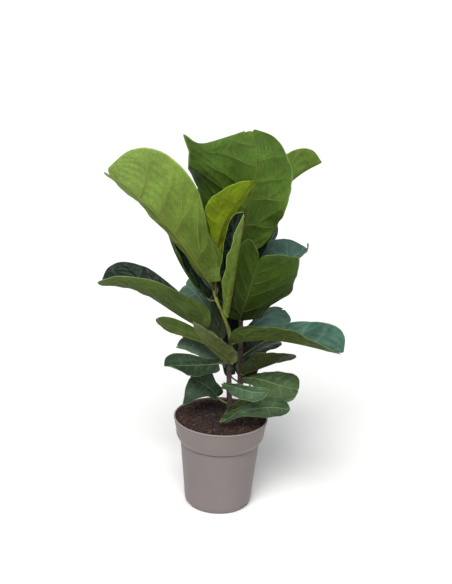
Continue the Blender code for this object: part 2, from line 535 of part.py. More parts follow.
def main():
    for thing in list(bpy.data.objects):
        bpy.data.objects.remove(thing, do_unlink=True)
    home, cutters = collection(NAME), collection("cutters")
    make_pot(home, cutters)
    make_soil(home)
    ground = SOIL_CROWN + GAP
    brown, green = (0.045, 0.022, 0.024), (0.20, 0.20, 0.02)
    make_stem("stem_front", "front", ground, SHOOT_START["front"], brown, home)
    make_stem("shoot_front", "front", SHOOT_START["front"] + GAP, FRONT_HEIGHTS[-1], green, home, tip=True)
    make_stem("stem_back", "back", ground, SHOOT_START["back"], brown, home)
    make_stem("shoot_back", "back", SHOOT_START["back"] + GAP, BACK_HEIGHTS[-1], green, home, tip=True)
    for name, row in LEAVES.items():
        make_leaf(name, row, home)


main()
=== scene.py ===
"""Looks of the potted bambino fiddle-leaf fig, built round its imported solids.

Every leaf grows here by the rule that shapes its solid, as a thin veined blade
with raised ribs under it. Metres, +Z up; the plant's front faces -Y.
"""
import math
import random

import bpy
import numpy as np
from mathutils import Matrix, Vector, noise


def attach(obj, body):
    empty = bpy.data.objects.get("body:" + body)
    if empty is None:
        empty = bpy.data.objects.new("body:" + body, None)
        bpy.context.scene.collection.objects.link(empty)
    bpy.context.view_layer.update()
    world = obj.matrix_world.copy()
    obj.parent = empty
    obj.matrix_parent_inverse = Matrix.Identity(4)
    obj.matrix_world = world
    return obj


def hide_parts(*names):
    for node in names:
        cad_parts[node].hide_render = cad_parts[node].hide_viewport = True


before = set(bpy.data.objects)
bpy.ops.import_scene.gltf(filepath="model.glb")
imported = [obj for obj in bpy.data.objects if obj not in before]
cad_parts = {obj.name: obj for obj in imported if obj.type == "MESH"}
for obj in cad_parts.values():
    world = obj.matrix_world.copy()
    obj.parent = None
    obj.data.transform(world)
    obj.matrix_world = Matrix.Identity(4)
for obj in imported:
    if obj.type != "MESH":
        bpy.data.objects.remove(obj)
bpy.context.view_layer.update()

GAP = 0.0003                      # clearance kept between neighbouring solids

# Pot: radii and heights of the moulded shell
RIM_RADIUS = 0.105
RIM_HEIGHT = 0.2074
BAND_FOOT_RADIUS = 0.0986         # lower edge of the collar under the rim
BAND_FOOT_HEIGHT = 0.166
NECK_RADIUS = 0.0880              # body just below the collar's chamfer
NECK_HEIGHT = 0.1515
BODY_FOOT_RADIUS = 0.0768
BODY_FOOT_HEIGHT = 0.0260
FOOT_RADIUS = 0.0700
WALL = 0.0022
FLOOR = 0.012
NOTCH_ANGLES = (-33.0, 87.0, 207.0)   # recesses moulded into the foot's edge
NOTCH_WIDTH = 0.028
NOTCH_HEIGHT = 0.0085
NOTCH_DEPTH = 0.006

# Soil: nearly level with the rim, a little mounded round the stems
SOIL_EDGE = 0.2025
SOIL_CROWN = 0.2100
SOIL_PLATEAU = 0.058              # radius of the level middle
SOIL_BUMP = 0.0016

# Stems: heights are measured from the pot's underside
FLARE_HEIGHT = 0.022
FLARE = 1.30
FRONT_STEM = ((0.021, 0.000), (0.016, 0.000), (0.014, 0.000), (0.016, 0.000),
              (0.012, 0.000), (-0.001, 0.000), (-0.018, 0.000), (-0.032, 0.000))
FRONT_HEIGHTS = (0.210, 0.270, 0.320, 0.362, 0.400, 0.439, 0.476, 0.519)
BACK_STEM = ((0.046, 0.046), (0.041, 0.040), (0.038, 0.034), (0.036, 0.028),
             (0.030, 0.020), (0.022, 0.014), (0.016, 0.010))
BACK_HEIGHTS = (0.210, 0.270, 0.340, 0.420, 0.500, 0.570, 0.622)
STEMS = {
    "front": (FRONT_STEM, FRONT_HEIGHTS, 0.0068, 0.0030),
    "back": (BACK_STEM, BACK_HEIGHTS, 0.0066, 0.0032),
}
SHOOT_START = {"front": 0.392, "back": 0.545}   # where brown bark gives way to green

# Leaves: half-width of a fiddle blade along its length, as a share of the widest
PROFILE_AT = (0.00, 0.03, 0.09, 0.17, 0.26, 0.34, 0.46, 0.58, 0.70, 0.80, 0.89, 0.95, 0.985, 1.00)
PROFILE = (0.00, 0.25, 0.42, 0.47, 0.45, 0.46, 0.64, 0.86, 0.985, 1.00, 0.93, 0.75, 0.48, 0.12)
FOLD_AT = 0.08                    # where along the midrib a blade reaches its full fold
LOBE_DEPTH = 0.05                 # how far the basal lobes reach back, as a share of the width
LOBE_AT = 0.05                    # and where along the midrib they reach furthest
STALK_RADIUS = 0.0026
STALK_LIFT = 45.0                 # degrees a stalk rises as it leaves the stem

# One row a leaf. stem, node height, side the stalk leaves by, stalk length,
# then the blade: azimuth (0 is +X, 90 away from the front), rise above level,
# length, width, arch and sway (start and end angles off the chord), roll and
# twist about the midrib, and for each half its fold at the base, its fold at
# the tip and the curl across it. Angles are in degrees. A pull draws the blade
# out round one spot: its place along and across, the shift along the midrib,
# to the right and off the upper side, and how far it reaches.
LEAVES = {}


def leaf(name, stem, node, azimuth, rise, length, width, side=None, stalk=0.018, lift=None,
         arch=(12, 18), sway=(0, 0), roll=0, twist=0, left=(18, 10, 0), right=(18, 10, 0),
         wave=0.0, phase=0.0, waist=1.0, notch=0.012, peak=1.0,
         halves=(1.0, 1.0), pulls=(), age=1.0):
    LEAVES[name] = dict(
        stem=stem, node=node, azimuth=azimuth, rise=rise, length=length, width=width,
        side=azimuth if side is None else side, stalk=stalk,
        lift=STALK_LIFT if lift is None else lift, arch=arch, sway=sway, roll=roll,
        twist=twist, left=left, right=right, wave=wave, phase=phase, waist=waist,
        notch=notch, peak=peak, halves=halves, pulls=pulls, age=age)


# Top of the crown
leaf("leaf_top_left", "front", 0.501, -168, 47, 0.324, 0.263, side=-119, stalk=0.032, lift=47,
     arch=(10, 16), sway=(-7, 1), roll=-12, twist=6, left=(62, 52, 15), right=(-4, -3, -8), waist=1.15,
     peak=0.86, notch=0.037, halves=(0.86, 0.5))
leaf("leaf_top_middle", "back", 0.599, -82, 71, 0.277, 0.32, side=-71, stalk=0.017, lift=22,
     arch=(6, -1), sway=(-7, -22), roll=24, twist=11, left=(14, -2, -17), right=(12, -33, 9), waist=1.8,
     peak=0.85, notch=0.023, halves=(0.5, 0.88), wave=0.008, phase=0.1,
     pulls=((0.86, 1, 0.034, 0.01, 0, 0.017), (0.9, 0.7, -0.008, 0, 0, 0.03)))
leaf("leaf_top_right", "back", 0.601, 1, 47, 0.216, 0.109, side=27, stalk=0.032, lift=41, arch=(10, 24),
     sway=(-4, -9), roll=16, twist=-3, left=(39, 31, -21), right=(49, 48, 46), waist=0.82, peak=0.86,
     notch=0.03, halves=(0.93, 1))
leaf("leaf_young", "front", 0.486, -48, 60, 0.196, 0.115, side=-94, stalk=0.11, lift=76, arch=(25, -1),
     sway=(2, 14), roll=22, twist=-4, left=(26, 37, 4), right=(53, -29, 18), waist=1.54, peak=0.85,
     notch=0, halves=(0.66, 0.92))
leaf("leaf_inner_upright", "front", 0.44, -80, 62, 0.29, 0.089, side=-55, stalk=0.017, lift=46,
     arch=(9, 9), sway=(-3, -2), roll=-98, twist=-15, left=(54, 10, 65), right=(67, 59, -9), waist=1.32,
     peak=0.62, notch=0.058, halves=(0.74, 0.98))
leaf("leaf_behind_top_left", "front", 0.477, 166, 61, 0.214, 0.099, side=144, stalk=0.022, lift=-3,
     arch=(-25, -24), sway=(6, 3), roll=-2, twist=1, left=(25, 27, 13), right=(33, 41, 30), waist=1.03,
     peak=0.64, notch=0.06, halves=(0.58, 0.87))
# Middle of the crown
leaf("leaf_middle_right", "back", 0.426, -74, 57, 0.214, 0.203, side=-100, stalk=0.01, lift=13,
     arch=(-8, 14), sway=(4, -8), roll=8, twist=5, left=(6, 6, 20), right=(45, 68, 1), waist=1.48,
     peak=0.68, notch=0.068, halves=(0.97, 0.69),
     pulls=((0.985, -1, 0.005, 0, 0, 0.008), (0.95, -1, -0.01, 0, 0, 0.009), (0.84, -1, 0.008, 0.001, 0, 0.01)))
leaf("leaf_back_right", "back", 0.479, 29, 28, 0.172, 0.144, side=6, stalk=0.015, lift=62,
     arch=(32, -1), sway=(6, 2), roll=-16, twist=-3, left=(19, 12, -23), right=(21, 2, 61), waist=1.05,
     peak=0.66, notch=0, halves=(0.98, 0.5), pulls=((0.99, 1, 0.009, 0, 0.01, 0.012),))
leaf("leaf_left_long", "front", 0.349, 165, 18, 0.26, 0.201, side=-177, stalk=0.075, lift=50,
     arch=(-2, 29), sway=(-8, 5), roll=16, twist=10, left=(80, 4, 65), right=(35, 11, 7), waist=1.58,
     peak=0.92, notch=0.059, halves=(0.87, 0.56))
leaf("leaf_back_left", "back", 0.342, 125, 29, 0.177, 0.134, side=156, stalk=0.05, lift=27,
     arch=(31, 29), sway=(-3, 0), roll=32, twist=1, left=(14, -7, 1), right=(-27, 15, 18), waist=0.99,
     peak=1.39, notch=0.028, halves=(0.76, 0.96))
leaf("leaf_right_long", "front", 0.368, -29, 7, 0.258, 0.14, side=-71, stalk=0.02, lift=49,
     arch=(20, 6), sway=(-5, -5), roll=16, twist=-30, left=(56, 48, -7), right=(56, 36, 8), waist=1.34,
     peak=0.96, notch=0.078, halves=(0.82, 0.91))
leaf("leaf_behind_right", "back", 0.378, 43, 18, 0.125, 0.099, side=59, stalk=0.014, lift=16,
     arch=(28, 3), sway=(1, -11), roll=-7, twist=-1, left=(9, 9, -37), right=(-1, -6, -3), waist=0.91,
     peak=0.89, notch=0.061, halves=(0.72, 0.95))
# Lower part, left
leaf("leaf_left_small", "front", 0.323, 174, 26, 0.169, 0.067, side=150, stalk=0.025, lift=62,
     arch=(18, -24), sway=(-9, -2), roll=-51, twist=10, left=(66, -3, 42), right=(46, -9, 6),
     waist=1.14, peak=0.9, notch=0.025, halves=(0.95, 0.62))
leaf("leaf_front_diagonal", "front", 0.335, -150, 48, 0.146, 0.08, side=-77, stalk=0.02, lift=20,
     arch=(6, -25), sway=(2, 1), roll=-9, twist=4, left=(66, 8, -4), right=(-30, 48, -49), waist=1.64,
     peak=0.95, notch=0, halves=(0.89, 0.55))
leaf("leaf_left_dark", "front", 0.285, 169, 13, 0.119, 0.108, side=104, stalk=0.041, lift=53,
     arch=(-8, 29), sway=(1, 2), roll=28, twist=-9, left=(58, 57, -55), right=(-18, -12, 14),
     waist=1.17, peak=0.68, notch=0.115, halves=(0.62, 0.86))
leaf("leaf_low_left", "front", 0.335, -161, 2, 0.124, 0.1, side=-155, stalk=0.021, lift=4,
     arch=(-5, -4), sway=(4, 11), roll=54, twist=-7, left=(-23, 65, 8), right=(55, 11, 11), waist=1.29,
     peak=0.81, notch=0.009, halves=(0.74, 0.55))
leaf("leaf_low_left_drooping", "front", 0.234, -161, 40, 0.085, 0.106, side=168, stalk=0.026, lift=28,
     arch=(17, 9), sway=(-4, 6), roll=41, twist=8, left=(49, -16, -37), right=(47, -17, 52), waist=1.2,
     notch=0.02, halves=(0.81, 0.75), pulls=((0.77, -1, 0.012, -0.024, 0, 0.009),))
# Lower part, right
leaf("leaf_right_dark", "back", 0.288, 18, 26, 0.111, 0.111, side=105, stalk=0.026, lift=35,
     arch=(20, 10), sway=(-2, 0), roll=21, twist=-4, left=(19, -18, 43), right=(12, 9, -35), waist=1.16,
     peak=0.79, notch=0.071, halves=(0.91, 0.72))
leaf("leaf_right_olive", "back", 0.299, -2, 26, 0.124, 0.102, side=-71, stalk=0.013, lift=5,
     arch=(1, -8), sway=(2, -6), twist=11, left=(21, -15, -27), right=(78, 8, 28), waist=1.71,
     peak=0.69, notch=0.041, halves=(0.72, 0.82))
leaf("leaf_low_right", "back", 0.28, -25, 0, 0.131, 0.083, side=-44, stalk=0.009, lift=34,
     arch=(12, -5), sway=(0, 1), roll=-31, twist=-25, left=(-12, -5, -11), right=(27, 19, -10),
     waist=1.26, peak=0.73, notch=0.014, halves=(0.88, 0.98))
leaf("leaf_low_front", "front", 0.273, -41, 10, 0.125, 0.054, side=-107, stalk=0.044, lift=33,
     arch=(3, -17), sway=(3, 10), roll=-49, twist=3, left=(70, 41, 15), right=(-2, -17, 44), waist=1.25,
     peak=0.62, notch=0.027, halves=(0.5, 0.89))
leaf("leaf_lowest_right", "front", 0.23, 4, 11, 0.145, 0.058, side=-99, stalk=0.073, lift=1,
     arch=(27, 27), sway=(6, 2), roll=-43, twist=2, left=(56, -22, 7), right=(52, -45, -42), peak=0.8,
     notch=0.003, halves=(0.92, 0.74))
leaf("leaf_lowest_olive", "front", 0.215, -21, 35, 0.083, 0.073, side=-87, stalk=0.015, lift=19,
     arch=(9, 10), sway=(4, -2), roll=-1, twist=-6, left=(35, 7, -7), right=(49, 72, -13), waist=1.8,
     peak=1.11, notch=0.079, halves=(0.5, 0.86))
# Far side of the crown
leaf("leaf_back_01", "back", 0.238, 79, 18, 0.246, 0.15, side=48, stalk=0.032, lift=37, arch=(34, 13),
     sway=(-4, 0), roll=25, twist=-1, left=(24, -4, 11), right=(21, -51, 38), waist=1.48, peak=1.15,
     notch=0.011, halves=(0.92, 0.82))
leaf("leaf_back_02", "back", 0.27, 128, 43, 0.12, 0.092, side=138, stalk=0.026, lift=21, arch=(17, 14),
     sway=(1, 0), roll=41, twist=1, left=(26, 18, -30), right=(7, -13, -42), waist=0.8, peak=0.92,
     notch=0.071, halves=(0.7, 0.72))
leaf("leaf_back_04", "back", 0.307, 91, 16, 0.206, 0.159, side=104, stalk=0.031, lift=65, arch=(-7, 12),
     sway=(-2, -1), roll=8, left=(5, 45, -2), right=(51, 80, 35), waist=1.06, peak=0.74, notch=0.031,
     halves=(0.84, 0.9))
leaf("leaf_back_05", "back", 0.337, 10, -12, 0.149, 0.095, side=-18, stalk=0.073, lift=39,
     arch=(38, 33), sway=(4, 0), roll=21, twist=1, left=(71, -19, 9), right=(-10, -1, 21), waist=1.34,
     peak=0.64, notch=0.106, halves=(0.58, 0.99))
leaf("leaf_back_06", "back", 0.435, 82, 30, 0.208, 0.176, side=76, stalk=0.023, lift=23, arch=(7, 17),
     sway=(-1, -1), roll=15, twist=2, left=(13, 16, 11), right=(5, 34, 12), waist=1.38, peak=1.38,
     notch=0.011, halves=(0.87, 0.99))
leaf("leaf_back_07", "back", 0.442, 136, 40, 0.133, 0.078, side=131, stalk=0.019, lift=20, arch=(2, 12),
     roll=29, left=(27, 38, -20), right=(23, 34, -21), waist=1.49, notch=0.06, halves=(0.98, 0.98))
leaf("leaf_back_08", "back", 0.474, 118, 48, 0.108, 0.084, side=127, stalk=0.049, lift=41,
     arch=(-1, 14), roll=-19, left=(18, 5, -16), right=(-6, 28, -4), waist=0.9, peak=1.11, notch=0.032,
     halves=(0.88, 0.74))
leaf("leaf_back_09", "back", 0.497, 53, 49, 0.23, 0.108, side=22, stalk=0.029, lift=66, arch=(-17, -7),
     sway=(-3, -1), roll=17, left=(79, 17, 38), right=(6, 22, 29), waist=0.89, peak=1.33, notch=0.076,
     halves=(0.91, 0.82))
leaf("leaf_back_10", "back", 0.533, 146, 52, 0.185, 0.097, side=144, stalk=0.022, lift=42, arch=(6, 12),
     roll=14)
leaf("leaf_back_11", "back", 0.599, 119, 66, 0.165, 0.081, stalk=0.017, lift=23, arch=(5, 10), roll=3)


def direction(azimuth, rise):
    a, e = math.radians(azimuth), math.radians(rise)
    return np.array([math.cos(a) * math.cos(e), math.sin(a) * math.cos(e), math.sin(e)])


def unit(v):
    return v / np.linalg.norm(v, axis=-1, keepdims=True)


def smooth(at, keys_at, keys):
    """Cubic interpolation through the keys, without overshoot between them."""
    at = np.atleast_1d(np.asarray(at, float))
    x, y = np.asarray(keys_at, float), np.asarray(keys, float)
    slope = np.diff(y) / np.diff(x)
    tangent = np.concatenate([[slope[0]], (slope[1:] + slope[:-1]) / 2, [slope[-1]]])
    flat = np.where(slope[1:] * slope[:-1] <= 0)[0] + 1
    tangent[flat] = 0.0
    i = np.clip(np.searchsorted(x, at, side="right") - 1, 0, len(x) - 2)
    h = x[i + 1] - x[i]
    t = (at - x[i]) / h
    return ((2 * t**3 - 3 * t**2 + 1) * y[i] + (t**3 - 2 * t**2 + t) * h * tangent[i]
            + (3 * t**2 - 2 * t**3) * y[i + 1] + (t**3 - t**2) * h * tangent[i + 1])


def stem_axis(stem, height):
    """Point of a stem's axis at a height."""
    places, heights = STEMS[stem][0], STEMS[stem][1]
    x = smooth(height, heights, [p[0] for p in places])
    y = smooth(height, heights, [p[1] for p in places])
    return np.stack([x, y, np.atleast_1d(np.asarray(height, float))], -1)


def stem_radius(stem, height):
    heights, foot, tip = STEMS[stem][1], STEMS[stem][2], STEMS[stem][3]
    h = np.atleast_1d(np.asarray(height, float))
    share = np.clip((h - heights[0]) / (heights[-1] - heights[0]), 0, 1)
    flare = 1 + (FLARE - 1) * np.clip(1 - (h - heights[0]) / FLARE_HEIGHT, 0, 1) ** 2
    return (foot + (tip - foot) * share) * flare


def stalk_start(row):
    """Where a leaf's stalk leaves the stem, and which way."""
    foot = stem_axis(row["stem"], row["node"])[0]
    out = direction(row["side"], row["lift"])
    return foot, out


def midrib(row, t):
    """Midrib points and tangents, and the leaf's own side direction."""
    foot, out = stalk_start(row)
    base = foot + out * (row["stalk"] + float(stem_radius(row["stem"], row["node"])[0]))
    chord = direction(row["azimuth"], row["rise"])
    a = math.radians(row["azimuth"])
    right = np.array([math.sin(a), -math.cos(a), 0.0])
    up = np.cross(right, chord)
    tip = base + chord * row["length"]
    a0, a1 = (math.radians(v) for v in row["arch"])
    s0, s1 = (math.radians(v) for v in row["sway"])
    start = unit(chord + up * math.tan(a0) + right * math.tan(s0))
    end = unit(chord - up * math.tan(a1) - right * math.tan(s1))
    reach = row["length"] / 3
    p1, p2 = base + start * reach, tip - end * reach
    t = np.asarray(t, float)[:, None]
    point = (1 - t)**3 * base + 3 * (1 - t)**2 * t * p1 + 3 * (1 - t) * t**2 * p2 + t**3 * tip
    slope = unit((1 - t)**2 * (p1 - base) + 2 * (1 - t) * t * (p2 - p1) + t**2 * (tip - p2))
    side = unit(right - (slope @ right)[:, None] * slope)
    return point, slope, side


def blade(row, t, u, raise_by):
    """Points of a blade at t along the midrib and u across it, -1 left to 1 right,
    lifted off the middle surface by raise_by, or less inside a tight fold."""
    t, u = np.asarray(t, float), np.asarray(u, float)
    point, slope, side = midrib(row, t)
    face = np.cross(side, slope)
    roll = np.radians(row["roll"] + row["twist"] * t)[:, None]
    across = np.cos(roll) * side + np.sin(roll) * face
    face = np.cos(roll) * face - np.sin(roll) * side
    share = smooth(t ** row["peak"], PROFILE_AT, PROFILE)
    waist = 1 + (row["waist"] - 1) * np.exp(-((t - 0.27) / 0.20) ** 2)
    half = (share * waist * row["width"] / 2 + STALK_RADIUS * np.exp(-(t / 0.03) ** 2))[:, None]
    v = np.abs(u)[None, :]
    sign = np.where(u < 0, -1.0, 1.0)[None, :]
    is_left = (u < 0)[None, :]
    half = half * np.where(is_left, row["halves"][0], row["halves"][1])
    fold0 = np.where(is_left, row["left"][0], row["right"][0])
    fold1 = np.where(is_left, row["left"][1], row["right"][1])
    curl = np.radians(np.where(is_left, row["left"][2], row["right"][2]) + 1e-4)
    opening = np.minimum(1, 0.25 + 0.75 * t / FOLD_AT)[:, None]
    fold = np.radians(fold0 + (fold1 - fold0) * t[:, None]) * opening
    turn = fold + curl * v
    out = half * (np.sin(turn) - np.sin(fold)) / curl
    rise = half * (np.cos(fold) - np.cos(turn)) / curl
    ripple = row["wave"] * v**2 * np.sin(2 * math.pi * (2.3 * t[:, None] + row["phase"] + 0.35 * sign))
    rise = rise + ripple * np.minimum(1, np.minimum(6 * t, 4 * (1 - t)))[:, None]
    lobe = t[:, None] / LOBE_AT
    back = min(row["width"], 0.7 * row["length"]) * LOBE_DEPTH * v**1.5 * lobe * np.exp(1 - lobe)
    notch = row["length"] * row["notch"] * (1 - v) ** 2 * np.exp(-((1 - t[:, None]) / 0.10) ** 2)
    lean_x, lean_z = -np.sin(turn) * sign, np.cos(turn)
    left0, right0 = (np.radians(row[k][0] + (row[k][1] - row[k][0]) * t[:, None]) * opening
                     for k in ("left", "right"))
    on_midrib = v < 1e-9
    lean_x = np.where(on_midrib, (np.sin(left0) - np.sin(right0)) / 2, lean_x)
    lean_z = np.where(on_midrib, (np.cos(left0) + np.cos(right0)) / 2, lean_z)
    normal = unit(lean_x[..., None] * across[:, None, :] + lean_z[..., None] * face[:, None, :])
    room = 0.7 * np.abs(out) / np.maximum(np.abs(np.sin(turn)), 1e-6)
    tight = (turn * raise_by > 0) & ~on_midrib
    lift = np.where(tight, np.sign(raise_by) * np.minimum(np.abs(raise_by), room), raise_by)
    place = (point[:, None, :] + (sign * out)[..., None] * across[:, None, :]
             + rise[..., None] * face[:, None, :]
             - (back + notch)[..., None] * slope[:, None, :])
    for at, beside, along, outward, upward, reach in row["pulls"]:
        off = ((t[:, None] - at) * row["length"]) ** 2 + ((u[None, :] - beside) * row["width"] / 2) ** 2
        near = np.exp(-off / reach**2)[..., None]
        place = place + near * (along * slope[:, None, :] + outward * across[:, None, :] + upward * normal)
    return place + normal * lift[..., None]


# Fine blades
MESH_OF = ((0.235, 128, 30), (0.15, 92, 22), (0.0, 64, 15))  # length, rows, columns a half
BLADE_HALF = 0.00045              # half the thickness of a blade
QUILT = 0.0160                    # height from vein to crest between veins, as a share of length
PUCKER = 0.019                    # spacing of the cross veins' puckers
MARGIN_WAVE = 0.0055              # ripple of the margin, as a share of the length
UNDULATE = 0.0075                 # broad swells of the blade, as a share of the length
FORK_FROM = 0.46                  # where a side vein forks, as a share of the half-width
FORK_SWING = 0.09                 # how much that differs from vein to vein
FORK_RATE = 0.80                  # how fast the two arms part
VEIN_PAIRS = 5.4
VEIN_REACH = 0.93                 # where the side veins end, as a share of the half-width
RIB_HALF = 0.0019                 # midrib under a blade at its foot: half-width and height
RIB_HEIGHT = 0.0015
SIDE_RIB_HALF = 0.00072
SIDE_RIB_HEIGHT = 0.00060

# Colours, as sRGB from 0 to 255
# a tone is a colour, how far painted shade deepens it to the foot and how far painted light pales it to the tip
# the upper tones are partly the blades' own greens and partly painted light and shade: "night" is darkened as painted
# shade inside the crown, and the pale tone of leaf_back_left is a painted sheen that painted shade deepens strongly to
# its foot
UPPER_TONES = {
    "night": ((5, 28, 4), 0.3, 0.0), "deep": ((8, 32, 20), 0.3, 0.0), "pine": ((32, 63, 42), 0.3, 0.0),
    "slate": ((76, 95, 75), 0.3, 0.0), "sea": ((57, 91, 75), 0.3, 0.0), "haze": ((66, 96, 84), 0.3, 0.0),
    "fern": ((40, 59, 37), 0.3, 0.0), "meadow": ((50, 72, 41), 0.3, 0.0), "grass": ((64, 85, 48), 0.3, 0.0), "sage": ((66, 89, 61), 0.3, 0.0),
    "pale_sheen": ((78, 104, 88), 1.5, 0.0), "young": ((116, 138, 14), 0.3, 0.0),
}
UNDER_TONES = {
    # the under tones are partly the blades' own greens and partly painted light: "lit" and "bright" are lighter copies
    # painted as lit blades
    "lit": ((105, 130, 48), 0.70, 0.55), "bright": ((108, 134, 48), 0.2, 0.0), "leaf": ((79, 109, 35), 0.60, 0.30), "lime": ((86, 112, 38), 0.3, 0.0),
    "young": ((119, 143, 4), 0.4, 0.0), "moss": ((56, 82, 8), 0.85, 0.0), "fern": ((66, 85, 30), 0.4, 0.0),
    "dusk": ((84, 98, 52), 0.5, 0.0), "olive": ((52, 61, 28), 0.4, 0.0),
}
TONE_OF = {
    "leaf_top_left": ("sea", "lit"), "leaf_top_middle": ("deep", "leaf"),
    "leaf_top_right": ("fern", "lime"), "leaf_young": ("young", "young"),
    "leaf_inner_upright": ("night", "bright"), "leaf_behind_top_left": ("night", "moss"),
    "leaf_middle_right": ("pine", "moss"), "leaf_back_right": ("haze", "fern"),
    "leaf_left_long": ("deep", "fern"), "leaf_back_left": ("pale_sheen", "fern"),
    "leaf_right_long": ("sea", "fern"), "leaf_behind_right": ("haze", "moss"),
    "leaf_left_small": ("fern", "fern"), "leaf_front_diagonal": ("pine", "dusk"),
    "leaf_left_dark": ("slate", "moss"), "leaf_low_left": ("fern", "dusk"),
    "leaf_low_left_drooping": ("fern", "dusk"), "leaf_right_dark": ("pine", "moss"),
    "leaf_right_olive": ("fern", "olive"), "leaf_low_right": ("grass", "fern"),
    "leaf_low_front": ("sage", "dusk"), "leaf_lowest_right": ("meadow", "fern"),
    "leaf_lowest_olive": ("fern", "dusk"),
}
PETIOLE = (70, 77, 34)
RIB_BROWN = (114, 92, 44)
UPPER_GLOSS, UPPER_ROUGH = 0.16, 0.36
UNDER_GLOSS, UNDER_ROUGH = 0.16, 0.46
BARK = (54, 36, 35)
BARK_PALE = (110, 88, 74)
SHOOT = (122, 130, 42)
SHEATH = (92, 70, 46)
SOIL_DARK = (15, 8, 10)
SOIL_LIGHT = (62, 40, 38)
FIBRE_RED = (122, 76, 62)
FIBRE_TAN = (160, 126, 110)
POT = (106, 97, 96)
FLOOR_COLOUR = (228, 228, 228)

# Light
SKY_LOW = 0.22
SKY_HIGH = 0.55
HORIZON = 0.80                    # added just over the horizon, where the floor meets the sky
KEY_FROM = (-0.18, -0.84, 0.95)
KEY_POWER = 4.0
FILL_FROM = (0.75, -0.55, 0.45)
FILL_POWER = 0.20

# Camera: height, distance and turn found from the pot's ellipses in the picture
LENS = 67.95
CAMERA_PLACE = (0.0, -2.258, 1.2307)
CAMERA_PITCH = 17.97
CAMERA_ROLL = 2.39


def linear(colour):
    """Linear value of an sRGB colour given from 0 to 255."""
    c = np.asarray(colour, float) / 255
    return tuple(np.where(c <= 0.04045, c / 12.92, ((c + 0.055) / 1.055) ** 2.4))


class Shader:
    """Small helper that builds a material's nodes."""

    def __init__(self, name, roughness=0.5):
        self.material = bpy.data.materials.new(name)
        self.material.use_nodes = True
        self.tree = self.material.node_tree
        self.surface = self.tree.nodes["Principled BSDF"]
        self.surface.inputs["Roughness"].default_value = roughness

    def add(self, kind, **settings):
        node = self.tree.nodes.new(kind)
        for key, value in settings.items():
            setattr(node, key, value)
        return node

    def put(self, socket, value):
        if isinstance(value, bpy.types.NodeSocket):
            self.tree.links.new(value, socket)
        elif hasattr(value, "__len__") and len(value) == 3 and socket.type == "RGBA":
            socket.default_value = (*value, 1.0)
        else:
            socket.default_value = value

    def calc(self, operation, a, b=0.0, clamp=False):
        node = self.add("ShaderNodeMath", operation=operation, use_clamp=clamp)
        self.put(node.inputs[0], a)
        self.put(node.inputs[1], b)
        return node.outputs[0]

    def ramp(self, value, low, high, to_low=0.0, to_high=1.0):
        node = self.add("ShaderNodeMapRange", interpolation_type="SMOOTHSTEP")
        for key, v in (("Value", value), ("From Min", low), ("From Max", high),
                       ("To Min", to_low), ("To Max", to_high)):
            self.put(node.inputs[key], v)
        return node.outputs["Result"]

    def mix(self, factor, a, b, blend="MIX"):
        node = self.add("ShaderNodeMix", data_type="RGBA", blend_type=blend)
        self.put(node.inputs["Factor"], factor)
        self.put(node.inputs["A"], a)
        self.put(node.inputs["B"], b)
        return node.outputs["Result"]

    def uv(self, layer):
        node = self.add("ShaderNodeUVMap", uv_map=layer)
        split = self.add("ShaderNodeSeparateXYZ")
        self.tree.links.new(node.outputs[0], split.inputs[0])
        return node.outputs[0], split.outputs[0], split.outputs[1]

    def place(self, stretch=(1, 1, 1)):
        """Object-space place, stretched along the axes."""
        node = self.add("ShaderNodeTexCoord")
        mapping = self.add("ShaderNodeMapping")
        mapping.inputs["Scale"].default_value = stretch
        self.tree.links.new(node.outputs["Object"], mapping.inputs[0])
        return mapping.outputs[0]

    def noise(self, where, scale, detail=3.0, roughness=0.55):
        node = self.add("ShaderNodeTexNoise")
        node.inputs["Scale"].default_value = scale
        node.inputs["Detail"].default_value = detail
        node.inputs["Roughness"].default_value = roughness
        self.tree.links.new(where, node.inputs["Vector"])
        return node.outputs["Fac"]

    def cells(self, where, scale, feature="F1"):
        node = self.add("ShaderNodeTexVoronoi", feature=feature)
        node.inputs["Scale"].default_value = scale
        self.tree.links.new(where, node.inputs["Vector"])
        return node.outputs["Distance"]

    def bump(self, height, distance, strength=1.0, after=None):
        node = self.add("ShaderNodeBump")
        node.inputs["Strength"].default_value = strength
        node.inputs["Distance"].default_value = distance
        self.put(node.inputs["Height"], height)
        if after is not None:
            self.put(node.inputs["Normal"], after)
        return node.outputs[0]

    def finish(self, colour=None, roughness=None, normal=None):
        if colour is not None:
            self.put(self.surface.inputs["Base Color"], colour)
        if roughness is not None:
            self.put(self.surface.inputs["Roughness"], roughness)
        if normal is not None:
            self.put(self.surface.inputs["Normal"], normal)
        return self.material


